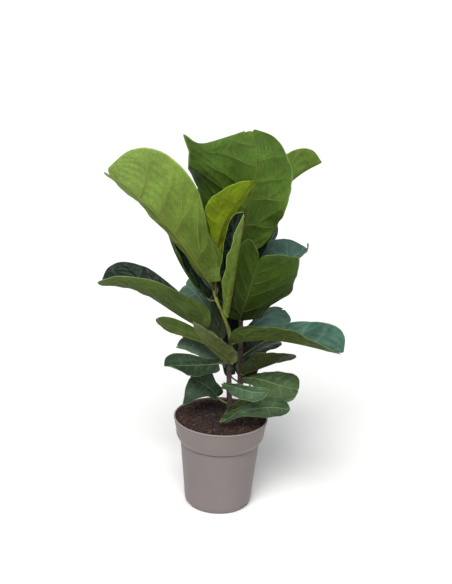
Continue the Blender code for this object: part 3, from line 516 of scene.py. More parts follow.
def leaf_veins(s):
    """Masks of a leaf's markings, from its maps: veins, halo, midrib, net, margin and so on."""
    _, vein, across = s.uv("vein")
    _, along, rib = s.uv("place")
    sheet, _, _ = s.uv("sheet")
    number = s.calc("ROUND", vein)
    swing = s.calc("MULTIPLY", s.calc("SINE", s.calc("MULTIPLY", number, 5.3)), FORK_SWING)
    past = s.calc("SUBTRACT", s.calc("SUBTRACT", across, FORK_FROM), swing)
    arms = s.calc("MULTIPLY", s.calc("MAXIMUM", past, 0.0), FORK_RATE)
    near = s.calc("ABSOLUTE", s.calc("SUBTRACT", s.calc("ABSOLUTE", s.calc("SUBTRACT", vein, number)), arms))
    width = s.ramp(across, 0.0, 0.95, 0.022, 0.009)
    line = s.ramp(s.calc("DIVIDE", near, width), 0.5, 1.3, 1.0, 0.0)
    line = s.calc("MULTIPLY", line, s.ramp(across, 0.84, 0.98, 1.0, 0.0))
    halo = s.calc("MULTIPLY", s.ramp(near, 0.02, 0.20, 1.0, 0.0), s.ramp(across, 0.3, 0.95, 1.0, 0.2))
    return {
        "line": line, "halo": halo, "sheet": sheet, "along": along, "across": across,
        "middle": s.ramp(rib, 0.55, 1.0, 1.0, 0.0),
        "net": s.ramp(s.cells(sheet, 9.0, "DISTANCE_TO_EDGE"), 0.0, 0.06, 1.0, 0.0),
        "fine": s.ramp(s.cells(sheet, 34.0, "DISTANCE_TO_EDGE"), 0.0, 0.10, 1.0, 0.0),
        "margin": s.calc("MULTIPLY", s.ramp(across, 0.962, 0.992), s.ramp(along, 0.15, 0.65, 0.15, 1.0)),
    }


def blade_colour(s, m, shades, tone, layers):
    """Cloudy base colour with markings laid over it one by one; the cloud's light and dark patches are partly painted
    light and shade, painted shade deepens the foot and painted light pales the tip.
    """
    base = np.array(linear(tone[0]))
    cloud = s.ramp(s.noise(m["sheet"], 1.7, 2.0), 0.32, 0.68)
    colour = s.mix(cloud, tuple(shades[0]), tuple(shades[1]))
    # painted light: the blade pales towards its tip
    tip = tuple(base * 1.30 + base.mean() * 0.30)
    colour = s.mix(s.ramp(m["along"], 0.45, 1.0, 0.0, tone[2]), colour, tip)
    for mark, share, other in layers:
        colour = s.mix(s.calc("MULTIPLY", mark, share), colour, other)
    # painted shade: the blade deepens towards its foot
    return s.mix(s.ramp(m["along"], 0.0, 0.85, tone[1], 0.0), colour, tuple(base * (0.24, 0.22, 0.12))), cloud


def upper_leaf(name, tone):
    s = Shader(name)
    base = np.array(linear(tone[0]))
    m = leaf_veins(s)
    pale = tuple(np.clip(base * 1.5 + (0.060, 0.075, 0.057), 0, 1))
    edge = tuple(np.clip(base * 1.5 + (0.095, 0.115, 0.080), 0, 1))
    # painted sheen: the cloud's lighter colour is tinted blue-grey as a reflection of the sky
    painted_sheen = base * 1.06 + base.mean() * np.array((0.10, 0.14, 0.20))
    colour, cloud = blade_colour(s, m, (base * 0.58, painted_sheen), tone, (
        (m["halo"], 0.25, tuple(base * 1.40 + 0.008)), (m["net"], 0.18, pale), (m["fine"], 0.06, pale),
        (m["line"], 0.80, pale), (m["middle"], 0.88, tuple(base * 1.5 + (0.090, 0.112, 0.075))),
        (m["margin"], 0.70, edge)))
    rough = s.calc("ADD", s.calc("MULTIPLY", cloud, 0.10), UPPER_ROUGH)
    relief = s.calc("ADD", s.calc("MULTIPLY", m["net"], -0.45), s.calc("MULTIPLY", m["fine"], -0.14))
    relief = s.calc("SUBTRACT", relief, s.calc("ADD", m["line"], m["middle"]))
    s.surface.inputs["Specular IOR Level"].default_value = UPPER_GLOSS
    return s.finish(colour, rough, s.bump(relief, 0.0008, 0.85))


def vein_brown(base, most=0.90):
    """Brown of a vein's foot mixed with the blade's own colour, browner on paler blades."""
    share = min(most, 0.16 + 3.1 * base[1])
    return tuple(share * np.array(linear(RIB_BROWN)) + (1 - share) * base)


def vein_pale(base):
    """Paler colour of a vein further out, which stands out more on paler blades."""
    return tuple(np.clip(base * 1.22 + base[1] * np.array((0.28, 0.25, 0.08)), 0, 1))


def under_leaf(name, tone):
    s = Shader(name)
    base = np.array(linear(tone[0]))
    m = leaf_veins(s)
    vein = s.mix(s.ramp(m["across"], 0.05, 0.55), vein_brown(base, 0.75), vein_pale(base))
    edge = tuple(np.clip(base * 1.3 + (0.100, 0.115, 0.062), 0, 1))
    colour, cloud = blade_colour(s, m, (base * 0.72, base * 1.16), tone, (
        (m["halo"], 0.22, tuple(base * 0.80)), (m["net"], 0.24, tuple(base * 0.72)),
        (m["fine"], 0.12, tuple(base * 0.80)), (m["line"], 0.60, vein),
        (m["middle"], 0.80, vein_brown(base)), (m["margin"], 0.70, edge)))
    relief = s.calc("ADD", s.calc("MULTIPLY", m["net"], 0.8), s.calc("MULTIPLY", m["fine"], 0.30))
    relief = s.calc("ADD", relief, m["line"])
    s.surface.inputs["Specular IOR Level"].default_value = UNDER_GLOSS
    rough = s.calc("ADD", s.calc("MULTIPLY", cloud, 0.10), UNDER_ROUGH)
    return s.finish(colour, rough, s.bump(relief, 0.0010, 0.9))


def plain_plant(name, colour, other, scale, roughness, relief=0.0004, stretch=(1, 1, 1)):
    """Skin of a petiole, rib, shoot or sheath: two tones in soft streaks."""
    s = Shader(name)
    where = s.place(stretch)
    streak = s.ramp(s.noise(where, scale, 4.0), 0.35, 0.68)
    colour = s.mix(streak, linear(colour), linear(other))
    grain = s.noise(where, scale * 6, 2.0)
    rough = s.calc("ADD", s.calc("MULTIPLY", streak, 0.12), roughness)
    return s.finish(colour, rough, s.bump(grain, relief, 0.6))


def rib_skin(name, tone):
    """Skin of the veins under a blade: brown at the foot, pale further out, deepened by painted shade towards the
    blade's foot.
    """
    s = Shader(name)
    base = np.array(linear(tone[0]))
    _, _, out = s.uv("vein")
    _, along, _ = s.uv("place")
    streak = s.ramp(s.noise(s.place(), 60.0, 3.0), 0.35, 0.68)
    foot = tuple(np.array(vein_brown(base)) * min(1.0, 0.30 + 2.6 * base[1]))
    colour = s.mix(s.ramp(out, 0.0, 0.12), foot, vein_brown(base))
    colour = s.mix(s.ramp(out, 0.05, 0.62), colour, vein_pale(base))
    colour = s.mix(s.calc("MULTIPLY", streak, 0.25), colour, tuple(base))
    # painted shade: the ribs deepen towards the blade's foot
    colour = s.mix(s.ramp(along, 0.0, 0.60, 0.45 * tone[1], 0.0), colour, tuple(base * (0.34, 0.30, 0.18)))
    grain = s.noise(s.place(), 600.0, 2.0)
    s.surface.inputs["Specular IOR Level"].default_value = UNDER_GLOSS
    return s.finish(colour, s.calc("ADD", s.calc("MULTIPLY", streak, 0.1), 0.5), s.bump(grain, 0.0002, 0.4))


def bark_material():
    s = Shader("bark_brown")
    where = s.place((1, 1, 0.22))
    patches = s.ramp(s.noise(s.place(), 95.0, 4.0), 0.42, 0.68)
    cracks = s.ramp(s.cells(where, 520.0, "DISTANCE_TO_EDGE"), 0.0, 0.16, 1.0, 0.0)
    pores = s.ramp(s.cells(s.place((1, 1, 1.6)), 330.0), 0.05, 0.20, 1.0, 0.0)
    colour = s.mix(patches, linear(BARK), tuple(np.array(linear(BARK_PALE)) * 0.55))
    colour = s.mix(s.calc("MULTIPLY", cracks, 0.65), colour, tuple(np.array(linear(BARK)) * 0.40))
    colour = s.mix(s.calc("MULTIPLY", pores, 0.55), colour, linear(BARK_PALE))
    relief = s.calc("SUBTRACT", s.calc("MULTIPLY", pores, 0.5), cracks)
    return s.finish(colour, s.calc("ADD", s.calc("MULTIPLY", patches, 0.1), 0.72), s.bump(relief, 0.0006, 0.9))


def soil_material(name, dark, light, scale):
    s = Shader(name)
    where = s.place()
    patch = s.ramp(s.noise(where, scale, 6.0, 0.7), 0.38, 0.66)
    speck = s.ramp(s.cells(where, scale * 5), 0.0, 0.5, 1.0, 0.0)
    colour = s.mix(patch, linear(dark), linear(light))
    colour = s.mix(s.calc("MULTIPLY", speck, 0.35), colour, tuple(np.array(linear(dark)) * 0.55))
    flat = s.add("ShaderNodeVectorMath", operation="LENGTH")
    s.tree.links.new(s.place((1, 1, 0)), flat.inputs[0])
    reach = s.calc("ADD", flat.outputs["Value"], s.calc("MULTIPLY", s.noise(where, 45.0), 0.03))
    # painted shade: the soil darkens towards the middle, round the stems
    painted_stem_shade = s.ramp(reach, 0.03, 0.098, 0.75, 0.0)
    colour = s.mix(painted_stem_shade, colour, tuple(np.array(linear(dark)) * 0.6))
    relief = s.calc("ADD", s.noise(where, scale * 4, 5.0, 0.7), patch)
    return s.finish(colour, s.calc("ADD", s.calc("MULTIPLY", patch, 0.08), 0.88), s.bump(relief, 0.0018, 0.9))


def pot_material():
    s = Shader("pot_plastic")
    where = s.place()
    cloud = s.ramp(s.noise(where, 9.0, 4.0), 0.3, 0.7)
    grain = s.noise(where, 900.0, 2.0)
    flow = s.noise(s.place((1, 1, 0.15)), 60.0, 3.0)
    base = np.array(linear(POT))
    colour = s.mix(cloud, tuple(base * 0.93), tuple(base * 1.05))
    colour = s.mix(s.calc("MULTIPLY", s.ramp(flow, 0.55, 0.75), 0.12), colour, tuple(base * 1.16))
    height = s.add("ShaderNodeSeparateXYZ")
    s.tree.links.new(where, height.inputs[0])
    z = height.outputs[2]
    # painted highlight: the top of the rim's lip is lighter
    painted_rim_highlight = s.ramp(z, RIM_HEIGHT - 0.0016, RIM_HEIGHT - 0.0004, 0.0, 0.65)
    colour = s.mix(painted_rim_highlight, colour, tuple(base * 1.9))
    # painted light: the collar's downward slope is paler, standing for light thrown up from the floor
    slope = s.calc("MULTIPLY", s.ramp(z, NECK_HEIGHT, NECK_HEIGHT + 0.004),
                   s.ramp(z, NECK_HEIGHT + 0.010, NECK_HEIGHT + 0.018, 1.0, 0.0))
    colour = s.mix(s.calc("MULTIPLY", slope, 0.5), colour, tuple(base * 1.25))
    # painted shadow: a dark band just under the collar's edge
    painted_collar_shadow = s.calc("MULTIPLY", s.ramp(z, NECK_HEIGHT - 0.0050, NECK_HEIGHT - 0.0014),
                   s.ramp(z, NECK_HEIGHT - 0.0002, NECK_HEIGHT + 0.0006, 1.0, 0.0))
    colour = s.mix(s.calc("MULTIPLY", painted_collar_shadow, 0.8), colour, tuple(base * (0.34, 0.30, 0.30)))
    rough = s.calc("ADD", s.calc("MULTIPLY", cloud, 0.08), 0.46)
    return s.finish(colour, rough, s.bump(grain, 0.00018, 0.5))


def floor_material():
    s = Shader("studio_floor", 0.85)
    cloud = s.noise(s.place(), 0.6, 2.0)
    base = np.array(linear(FLOOR_COLOUR))
    return s.finish(s.mix(cloud, tuple(base * 0.99), tuple(base * 1.01)))


def make_piece(name, vertices, faces, materials, replaces=(), face_materials=None, smooth=True):
    """A mesh object that rides on the part's body."""
    mesh = bpy.data.meshes.new(name)
    mesh.from_pydata([tuple(map(float, v)) for v in vertices], [], faces)
    for m in materials:
        mesh.materials.append(m)
    if face_materials is not None:
        mesh.polygons.foreach_set("material_index", np.asarray(face_materials, np.int32))
    mesh.update()
    if smooth:
        mesh.shade_smooth()
    piece = bpy.data.objects.new(name, mesh)
    bpy.context.scene.collection.objects.link(piece)
    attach(piece, "root")
    if replaces:
        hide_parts(*replaces)
    return piece


def tube(points, radii, sides, squash=1.0):
    """Rings round a line of points, turned as little as the line allows, with closed ends."""
    points = np.asarray(points)
    tangents = unit(np.gradient(points, axis=0))
    across = unit(np.cross(tangents[0], [0.31, 0.22, 0.92]))
    angles = np.linspace(0, 2 * math.pi, sides, endpoint=False)
    rings = []
    for p, d, r in zip(points, tangents, radii):
        across = unit(across - (across @ d) * d)
        other = np.cross(d, across)
        rings.append(p + r * (np.cos(angles)[:, None] * across + squash * np.sin(angles)[:, None] * other))
    vertices = np.concatenate(rings)
    faces = []
    for i in range(len(points) - 1):
        for k in range(sides):
            m = (k + 1) % sides
            faces.append((i * sides + k, i * sides + m, (i + 1) * sides + m, (i + 1) * sides + k))
    last = (len(points) - 1) * sides
    faces.append(tuple(range(sides - 1, -1, -1)))
    faces.append(tuple(range(last, last + sides)))
    return vertices, faces


def vein_place(row, t, v, side):
    """Which side vein passes a point: a whole number lies on a vein."""
    reach = row["width"] / 2 * row["halves"][side] / row["length"]
    s = np.clip(t / 0.45, 0, 1)
    rise = 0.50 + 0.50 * s * s * (3 - 2 * s)
    q = VEIN_PAIRS * (t - reach * (0.42 * v + 0.34 * v**2.4) * rise) + 0.45 * side
    return q + 0.12 * np.sin(2.1 * q + 5 * row["phase"] + side)


def fork_arms(number, v):
    """How far a vein's two arms stand off its middle line, 0 before it forks."""
    return FORK_RATE * np.maximum(v - FORK_FROM - FORK_SWING * np.sin(5.3 * number), 0)


def blade_relief(row, t, v, side):
    """Rise and fall of the blade's middle surface between its veins, and the margin's ripple."""
    q = vein_place(row, t, v, side)
    number = np.round(q)
    near = np.abs(np.abs(q - number) - fork_arms(number, v))
    crest = 1 - np.exp(-(near / 0.15) ** 2)
    cross = v * row["width"] / 2 / PUCKER + np.sin(7.3 * np.floor(q) + 9 * row["phase"])
    crest = crest * (0.74 + 0.26 * np.cos(2 * math.pi * cross)) - 0.42
    quilt = crest * np.sin(math.pi * np.clip(v, 0, 1)) ** 0.6
    wave = t + 0.2 * row["phase"] + 0.09 * side
    ripple = v**3 * (np.sin(2 * math.pi * 4.3 * wave) + 0.25 * np.sin(2 * math.pi * 10.3 * wave + 1.0))
    swell = np.sin(2 * math.pi * (1.9 * t + 0.5 * v + row["phase"])) * np.sin(2 * math.pi * (v - 0.9 * t + 0.3 * side))
    ends = np.clip(6 * t, 0, 1) * np.clip(7 * (1 - t), 0, 1)
    return row["length"] * (QUILT * quilt + MARGIN_WAVE * ripple + UNDULATE * swell * v * (1.7 - v)) * ends


def surface(row, t, u, off):
    """Fine blade at t and u, off its middle surface by off."""
    v = np.abs(u)[None, :] + 0 * t[:, None]
    side = (u > 0).astype(int)[None, :] + 0 * t[:, None].astype(int)
    relief = np.where(side == 1, blade_relief(row, t[:, None], v, 1), blade_relief(row, t[:, None], v, 0))
    return blade(row, t, u, relief + off)


def blade_mesh(row):
    """Vertices, quads, a material number for each quad and the leaf's three maps."""
    rows, across = next((r, c) for least, r, c in MESH_OF if row["length"] >= least)
    s = np.linspace(0, 1, rows)
    t = 0.55 * s + 0.45 * (0.5 - 0.5 * np.cos(math.pi * s))
    w = np.linspace(0, 1, across + 1)
    half = 0.82 * w + 0.18 * w**2
    u = np.concatenate([-half[::-1], half[1:]])
    rim = 1 + 2 * BLADE_HALF / row["width"]
    top = surface(row, t, u, BLADE_HALF)
    low = surface(row, t, u[::-1], -BLADE_HALF)
    edge = surface(row, t, np.array([rim, -rim]), 0.0)
    rings = np.concatenate([top, edge[:, :1], low, edge[:, 1:]], axis=1)
    us = np.concatenate([u, [1.0], u[::-1], [-1.0]])
    count, size = rings.shape[:2]
    columns = len(u)
    faces, kinds, corners = [], [], []
    for i in range(count - 1):
        for j in range(size):
            k = (j + 1) % size
            faces.append((i * size + j, i * size + k, (i + 1) * size + k, (i + 1) * size + j))
            kinds.append(0 if j < columns - 1 else 1)
            right = us[j] + us[k] > 0
            corners.append(((i, j, right), (i, k, right), (i + 1, k, right), (i + 1, j, right)))
    for i, flip in ((0, True), (count - 1, False)):
        for j in range(columns - 1):
            m = size - 2 - j
            quad = [(i, j), (i, j + 1), (i, m - 1), (i, m)]
            quad = quad[::-1] if flip else quad
            faces.append(tuple(a * size + b for a, b in quad))
            kinds.append(1)
            corners.append(tuple((a, b, us[b] > 0) for a, b in quad))
        for j, k, m in ((columns - 1, columns, columns + 1), (size - 2, size - 1, 0)):
            tri = [(i, j), (i, k), (i, m)]
            tri = tri[::-1] if flip else tri
            faces.append(tuple(a * size + b for a, b in tri))
            kinds.append(1)
            corners.append(tuple((a, b, us[b] > 0) for a, b in tri))
    vs = np.abs(us)[None, :]
    q = np.stack([vein_place(row, t[:, None], vs, 0), vein_place(row, t[:, None], vs, 1)])
    steps = np.linalg.norm(np.diff(top, axis=1), axis=2)
    reach = np.concatenate([np.zeros((count, 1)), np.cumsum(steps, axis=1)], axis=1)
    reach = reach - reach[:, columns // 2:columns // 2 + 1]
    spread = np.concatenate([reach, reach[:, -1:], reach[:, ::-1], reach[:, :1]], axis=1)
    rib = np.abs(spread) / (RIB_HALF * (1.05 - 0.8 * t[:, None]))
    flat = [c for face in corners for c in face]
    i, j, right = (np.array([c[k] for c in flat], int) for k in range(3))
    maps = {
        "vein": np.stack([q[right, i, j], vs[0, j]], -1),
        "place": np.stack([t[i], rib[i, j]], -1),
        "sheet": np.stack([spread[i, j] * 10, t[i] * row["length"] * 10], -1),
    }
    return rings.reshape(-1, 3), faces, kinds, maps


def raised_rib(row, t, u, half_width, height):
    """A rounded ridge along a path under the blade."""
    pairs = np.arange(len(t)), np.arange(len(t))
    under, inner = (surface(row, t, u, off)[pairs] for off in (-BLADE_HALF, 0.0))
    down = unit(under - inner)
    along = unit(np.gradient(under, axis=0))
    side = unit(np.cross(along, down))
    shape = ((-1.0, -0.35), (-0.72, 0.45), (0.0, 1.0), (0.72, 0.45), (1.0, -0.35))
    vertices = np.stack([under + side * (a * half_width)[:, None] + down * (b * height)[:, None]
                         for a, b in shape], axis=1)
    count, size = vertices.shape[:2]
    faces = [(i * size + j, (i + 1) * size + j, (i + 1) * size + j + 1, i * size + j + 1)
             for i in range(count - 1) for j in range(size - 1)]
    faces += [(i * size + size - 1, (i + 1) * size + size - 1, (i + 1) * size, i * size) for i in range(count - 1)]
    faces += [tuple(range(size)), tuple(range(count * size - 1, (count - 1) * size - 1, -1))]
    return vertices.reshape(-1, 3), faces


def vein_path(row, side, number, shares, arm):
    """Where a side vein, or an arm of its fork, lies along the blade at each share of the half-width."""
    fine = np.linspace(0, 1, 240)
    places = []
    for share in shares:
        q = np.maximum.accumulate(vein_place(row, fine, share, side))
        at = number + arm * fork_arms(number, share)
        places.append(np.interp(at, q, fine, left=np.nan, right=np.nan))
    return np.array(places)


def ribs(row):
    """Midrib and side veins raised under a blade, each with how far out and along its rings lie."""
    t = np.linspace(0.0, 0.975, 48)
    taper = 1.05 - 0.8 * t
    parts = [(*raised_rib(row, t, 0 * t, RIB_HALF * taper, RIB_HEIGHT * taper), 0.4 * t**1.6, t)]
    scale = min(1.0, 0.45 + row["length"] / 0.45)
    for side in (0, 1):
        for number in range(-1, int(VEIN_PAIRS) + 2):
            fork = FORK_FROM + FORK_SWING * math.sin(5.3 * number)
            for first, last, points, arm in ((0.012, fork, 13, 0), (fork, VEIN_REACH, 13, 1), (fork, VEIN_REACH, 13, -1)):
                v = np.linspace(first, last, points)
                t = vein_path(row, side, number, v, arm)
                good = ~np.isnan(t) & (t > 0.012) & (t < 0.965)
                stop = len(v) if good.all() else int(np.argmin(good))
                if stop < 4:
                    continue
                v, t = v[:stop], t[:stop]
                taper = scale * (1.0 - 0.72 * v / VEIN_REACH)
                u = v if side else -v
                mesh = raised_rib(row, t, u, SIDE_RIB_HALF * taper, SIDE_RIB_HEIGHT * taper)
                parts.append((*mesh, v, t))
    return parts


def stalk_curve(row, count):
    """Points of a stalk's middle line, from inside the stem's skin to the blade's foot."""
    foot, out = stalk_start(row)
    radius = float(stem_radius(row["stem"], row["node"])[0])
    point, slope, _ = midrib(row, [0.0])
    base, heading = point[0], slope[0]
    begin = foot + out * radius * 0.7
    reach = np.linalg.norm(base - begin) / 3
    p1, p2 = begin + out * reach, base - heading * reach
    t = np.linspace(0, 1, count)[:, None]
    curve = (1 - t)**3 * begin + 3 * (1 - t)**2 * t * p1 + 3 * (1 - t) * t**2 * p2 + t**3 * base
    return np.concatenate([curve, [base + heading * 0.0035]])


def joined(parts):
    """Vertices, faces and part numbers of several meshes as one."""
    vertices, faces, numbers, start = [], [], [], 0
    for number, (v, f) in enumerate(parts):
        vertices.append(np.asarray(v))
        faces += [tuple(i + start for i in face) for face in f]
        numbers += [number] * len(f)
        start += len(v)
    return np.concatenate(vertices), faces, numbers


def make_leaf(name, row, skins, rng):
    upper, under = TONE_OF.get(name) or (rng.choice(["deep", "pine", "deep"]), rng.choice(["fern", "moss"]))
    vertices, faces, kinds, maps = blade_mesh(row)
    stalk = stalk_curve(row, 22)
    s = np.linspace(0, 1, len(stalk))
    radii = STALK_RADIUS * (0.86 + 0.32 * np.exp(-(s / 0.10) ** 2) - 0.06 * s)
    raised = ribs(row)
    outer, passed = (np.concatenate([np.repeat(rib[k], len(rib[0]) // len(rib[k])) for rib in raised])
                     for k in (2, 3))
    parts = [(vertices, faces), tube(stalk, radii, 18, 0.92)] + [rib[:2] for rib in raised]
    first_rib = len(vertices) + len(parts[1][0])
    vertices, faces, numbers = joined(parts)
    stock = [kinds[i] if n == 0 else 2 if n == 1 else 3 for i, n in enumerate(numbers)]
    piece = make_piece(name.replace("leaf_", "fine_leaf_"), vertices, faces,
                       [skins["upper"][upper], skins["under"][under], skins["petiole"], skins["rib"][under]],
                       [name], stock)
    corners = np.zeros(len(piece.data.loops), np.int32)
    piece.data.loops.foreach_get("vertex_index", corners)
    on_rib = corners >= first_rib
    for layer, places in maps.items():
        coordinates = np.zeros((len(corners), 2), np.float32)
        coordinates[:len(places)] = places
        coordinates[on_rib, 1] = outer[corners[on_rib] - first_rib] if layer == "vein" else 3.0
        if layer == "place":
            coordinates[on_rib, 0] = passed[corners[on_rib] - first_rib]
        piece.data.uv_layers.new(name=layer).data.foreach_set("uv", coordinates.ravel())
    return piece


def make_stem(name, stem, start, end, skin, node, nodes_at, seed):
    """Stem with bark relief, swollen where leaves leave it, and rings under each swelling."""
    sides, step = 40, 0.0012
    heights = np.arange(start, end + step / 2, step)
    axis = stem_axis(stem, heights)
    angles = np.linspace(0, 2 * math.pi, sides, endpoint=False)
    rings = []
    for z, p, r in zip(heights, axis, stem_radius(stem, heights)):
        swell = sum(0.10 * math.exp(-((z - n) / 0.0045) ** 2) - 0.06 * math.exp(-((z - n + 0.0062) / 0.0012) ** 2)
                    for n in nodes_at)
        ring = []
        for a in angles:
            x, y = math.cos(a), math.sin(a)
            fissure = noise.fractal(Vector((x * 2.3, y * 2.3, z * 55 + seed)), 1.0, 2.0, 4)
            grain = noise.noise(Vector((x * 9, y * 9, z * 260 + seed)))
            radius = r * (0.985 + swell + 0.028 * fissure + 0.012 * grain)
            ring.append((p[0] + radius * x, p[1] + radius * y, z))
        rings.append(ring)
    vertices = np.array(rings).reshape(-1, 3)
    faces = []
    for i in range(len(heights) - 1):
        for k in range(sides):
            m = (k + 1) % sides
            faces.append((i * sides + k, i * sides + m, (i + 1) * sides + m, (i + 1) * sides + k))
    faces.append(tuple(range(sides - 1, -1, -1)))
    last = (len(heights) - 1) * sides
    faces.append(tuple(range(last, last + sides)))
    return make_piece(name, vertices, faces, [skin], [node])


def make_bud(name, stem, skin):
    """Pointed bud in its sheath at the tip of a shoot."""
    end = STEMS[stem][1][-1]
    tip = stem_axis(stem, end)[0]
    heading = unit(tip - stem_axis(stem, end - 0.03)[0])
    t = np.linspace(0, 1, 14)
    points = tip + heading * ((t - 0.12) * 0.018)[:, None] + np.array([0.0015, 0, 0]) * (t**2)[:, None]
    radii = STEMS[stem][3] * 1.15 * np.sqrt(np.clip(1 - t**1.6, 0.004, 1))
    vertices, faces = tube(points, radii, 16)
    return make_piece(name, vertices, faces, [skin])


def sheath_scale(place, heading, length, width, curl):
    """Dry papery sheath that clasps a shoot: a thin pointed shell."""
    heading = unit(np.asarray(heading, float))
    side = unit(np.cross(heading, [0.2, 0.1, 1.0]))
    out = np.cross(side, heading)
    t, u = np.linspace(0, 1, 12), np.linspace(-1, 1, 7)
    half = width / 2 * (1 - t**1.8) ** 0.8 * (0.7 + 0.6 * t) + 0.0002
    def layer(lift):
        lean = curl * length * t**2
        return (np.asarray(place) + heading * (t * length)[:, None, None]
                + side * (half[:, None] * u)[..., None]
                + out * (lean[:, None] + width * 0.35 * (1 - u**2) + lift)[..., None])
    outer, inner = layer(0.0004), layer(0.0)
    rings = np.concatenate([outer, inner[:, ::-1]], axis=1)
    count, size = rings.shape[:2]
    faces = [(i * size + j, i * size + (j + 1) % size, (i + 1) * size + (j + 1) % size, (i + 1) * size + j)
             for i in range(count - 1) for j in range(size)]
    faces += [tuple(range(size - 1, -1, -1)), tuple(range((count - 1) * size, count * size))]
    return rings.reshape(-1, 3), faces


def make_sheaths(skin):
    """Pairs of dry sheaths just above the upper nodes."""
    rng = random.Random(21)
    parts = []
    for name in ("leaf_young", "leaf_top_left", "leaf_top_middle", "leaf_inner_upright", "leaf_middle_right"):
        row = LEAVES[name]
        for turn in (-55, 60):
            z = row["node"] + 0.006
            r = float(stem_radius(row["stem"], z)[0])
            way = direction(row["side"] + turn + rng.uniform(-12, 12), 0)
            place = stem_axis(row["stem"], z)[0] + way * (r + 0.0002)
            parts.append(sheath_scale(place, direction(row["side"] + turn, 76), rng.uniform(0.012, 0.020),
                                      rng.uniform(0.0034, 0.0046), rng.uniform(0.05, 0.30)))
    vertices, faces, _ = joined(parts)
    return make_piece("dry_sheaths", vertices, faces, [skin])


def rounded(points, radius, steps=5):
    """Profile with its corners rounded by short curves."""
    points = [np.array(p, float) for p in points]
    out = [points[0]]
    for a, b, c in zip(points, points[1:], points[2:]):
        r = min(radius, 0.45 * np.linalg.norm(b - a), 0.45 * np.linalg.norm(c - b))
        start, end = b + unit(a - b) * r, b + unit(c - b) * r
        for k in range(steps + 1):
            t = k / steps
            out.append((1 - t) ** 2 * start + 2 * (1 - t) * t * b + t**2 * end)
    return out + [points[-1]]


def make_pot(skin):
    """Turned shell, fine enough for its rim bead, collar and foot to round off."""
    sides = 160
    lip = rounded([(RIM_RADIUS - 0.0030, RIM_HEIGHT), (RIM_RADIUS, RIM_HEIGHT),
                   (RIM_RADIUS, RIM_HEIGHT - 0.0036), (RIM_RADIUS - 0.0013, RIM_HEIGHT - 0.0044),
                   (RIM_RADIUS - 0.0014, RIM_HEIGHT - 0.0080)], 0.0012)
    collar = rounded([(BAND_FOOT_RADIUS + 0.0006, BAND_FOOT_HEIGHT + 0.0120), (BAND_FOOT_RADIUS, BAND_FOOT_HEIGHT),
                      (NECK_RADIUS + 0.0025, NECK_HEIGHT + 0.0008)], 0.0095, 8)
    neck = rounded([(NECK_RADIUS + 0.0024, NECK_HEIGHT), (NECK_RADIUS - 0.0014, NECK_HEIGHT + 0.0002),
                    (NECK_RADIUS - 0.0014, NECK_HEIGHT - 0.0040), (NECK_RADIUS - 0.0005, NECK_HEIGHT - 0.0120)], 0.0006)
    foot = rounded([(BODY_FOOT_RADIUS + 0.0006, BODY_FOOT_HEIGHT + 0.0100), (BODY_FOOT_RADIUS, BODY_FOOT_HEIGHT),
                    (BODY_FOOT_RADIUS - 0.0010, 0.0150), (BODY_FOOT_RADIUS - 0.0026, 0.0070),
                    (FOOT_RADIUS + 0.0012, 0.0004), (FOOT_RADIUS - 0.004, 0.0), (0.0002, 0.0)], 0.0022)
    outer = lip + collar + neck + foot
    inner = [(0.0002, FLOOR), (BODY_FOOT_RADIUS - WALL - 0.0012, FLOOR),
             (BODY_FOOT_RADIUS - WALL, BODY_FOOT_HEIGHT), (NECK_RADIUS - WALL, NECK_HEIGHT - 0.0030),
             (BAND_FOOT_RADIUS - WALL, BAND_FOOT_HEIGHT + 0.0040),
             (RIM_RADIUS - 0.0014 - WALL, RIM_HEIGHT - 0.0050), (RIM_RADIUS - 0.0030, RIM_HEIGHT)]
    profile = outer + rounded(inner, 0.0015, 3)[:-1]
    angles = np.linspace(0, 2 * math.pi, sides, endpoint=False)
    rings = np.array([[(r * math.cos(a), r * math.sin(a), z) for a in angles] for r, z in profile])
    count = len(rings)
    faces = []
    for i in range(count):
        n = (i + 1) % count
        if i == len(outer) - 1:
            continue
        for k in range(sides):
            m = (k + 1) % sides
            faces.append((i * sides + k, n * sides + k, n * sides + m, i * sides + m))
    centre = len(outer) - 1
    faces.append(tuple(centre * sides + k for k in range(sides)))
    faces.append(tuple((centre + 1) * sides + k for k in range(sides - 1, -1, -1)))
    pot = make_piece("pot_shell", rings.reshape(-1, 3), faces, [skin], ["pot"])
    cutters = []
    for angle in NOTCH_ANGLES:
        a = math.radians(angle)
        bpy.ops.mesh.primitive_cube_add(size=1.0)
        cutter = bpy.context.object
        cutter.name = f"recess_{len(cutters)}"
        cutter.scale = (2 * NOTCH_DEPTH + 0.02, NOTCH_WIDTH, 2 * NOTCH_HEIGHT)
        cutter.location = ((FOOT_RADIUS + 0.010) * math.cos(a), (FOOT_RADIUS + 0.010) * math.sin(a), 0.0)
        cutter.rotation_euler = (0.0, 0.0, a)
        cutters.append(cutter)
        cut = pot.modifiers.new(cutter.name, "BOOLEAN")
        cut.operation = "DIFFERENCE"
        cut.solver = "EXACT"
        cut.object = cutter
    bpy.context.view_layer.update()
    cut_mesh = bpy.data.meshes.new_from_object(pot.evaluated_get(bpy.context.evaluated_depsgraph_get()))
    pot.modifiers.clear()
    pot.data = cut_mesh
    for cutter in cutters:
        bpy.data.objects.remove(cutter, do_unlink=True)
    pot.data.shade_smooth()
    pot.data.set_sharp_from_angle(angle=math.radians(38))
    return pot


def ground_height(x, y):
    """Height of the soil's surface."""
    r = math.hypot(x, y)
    edge = RIM_RADIUS - 0.0014 - WALL - 0.0008
    share = min(1.0, max(0.0, (edge - r) / (edge - SOIL_PLATEAU)))
    z = SOIL_EDGE + (SOIL_CROWN - SOIL_EDGE) * math.sin(share * math.pi / 2)
    lumps = noise.fractal(Vector((x * 48, y * 48, 0.7)), 0.9, 2.1, 5)
    small = noise.fractal(Vector((x * 190, y * 190, 3.1)), 0.9, 2.0, 3)
    return z + 0.0022 * lumps * min(1.0, share * 3 + 0.2) + 0.0009 * small


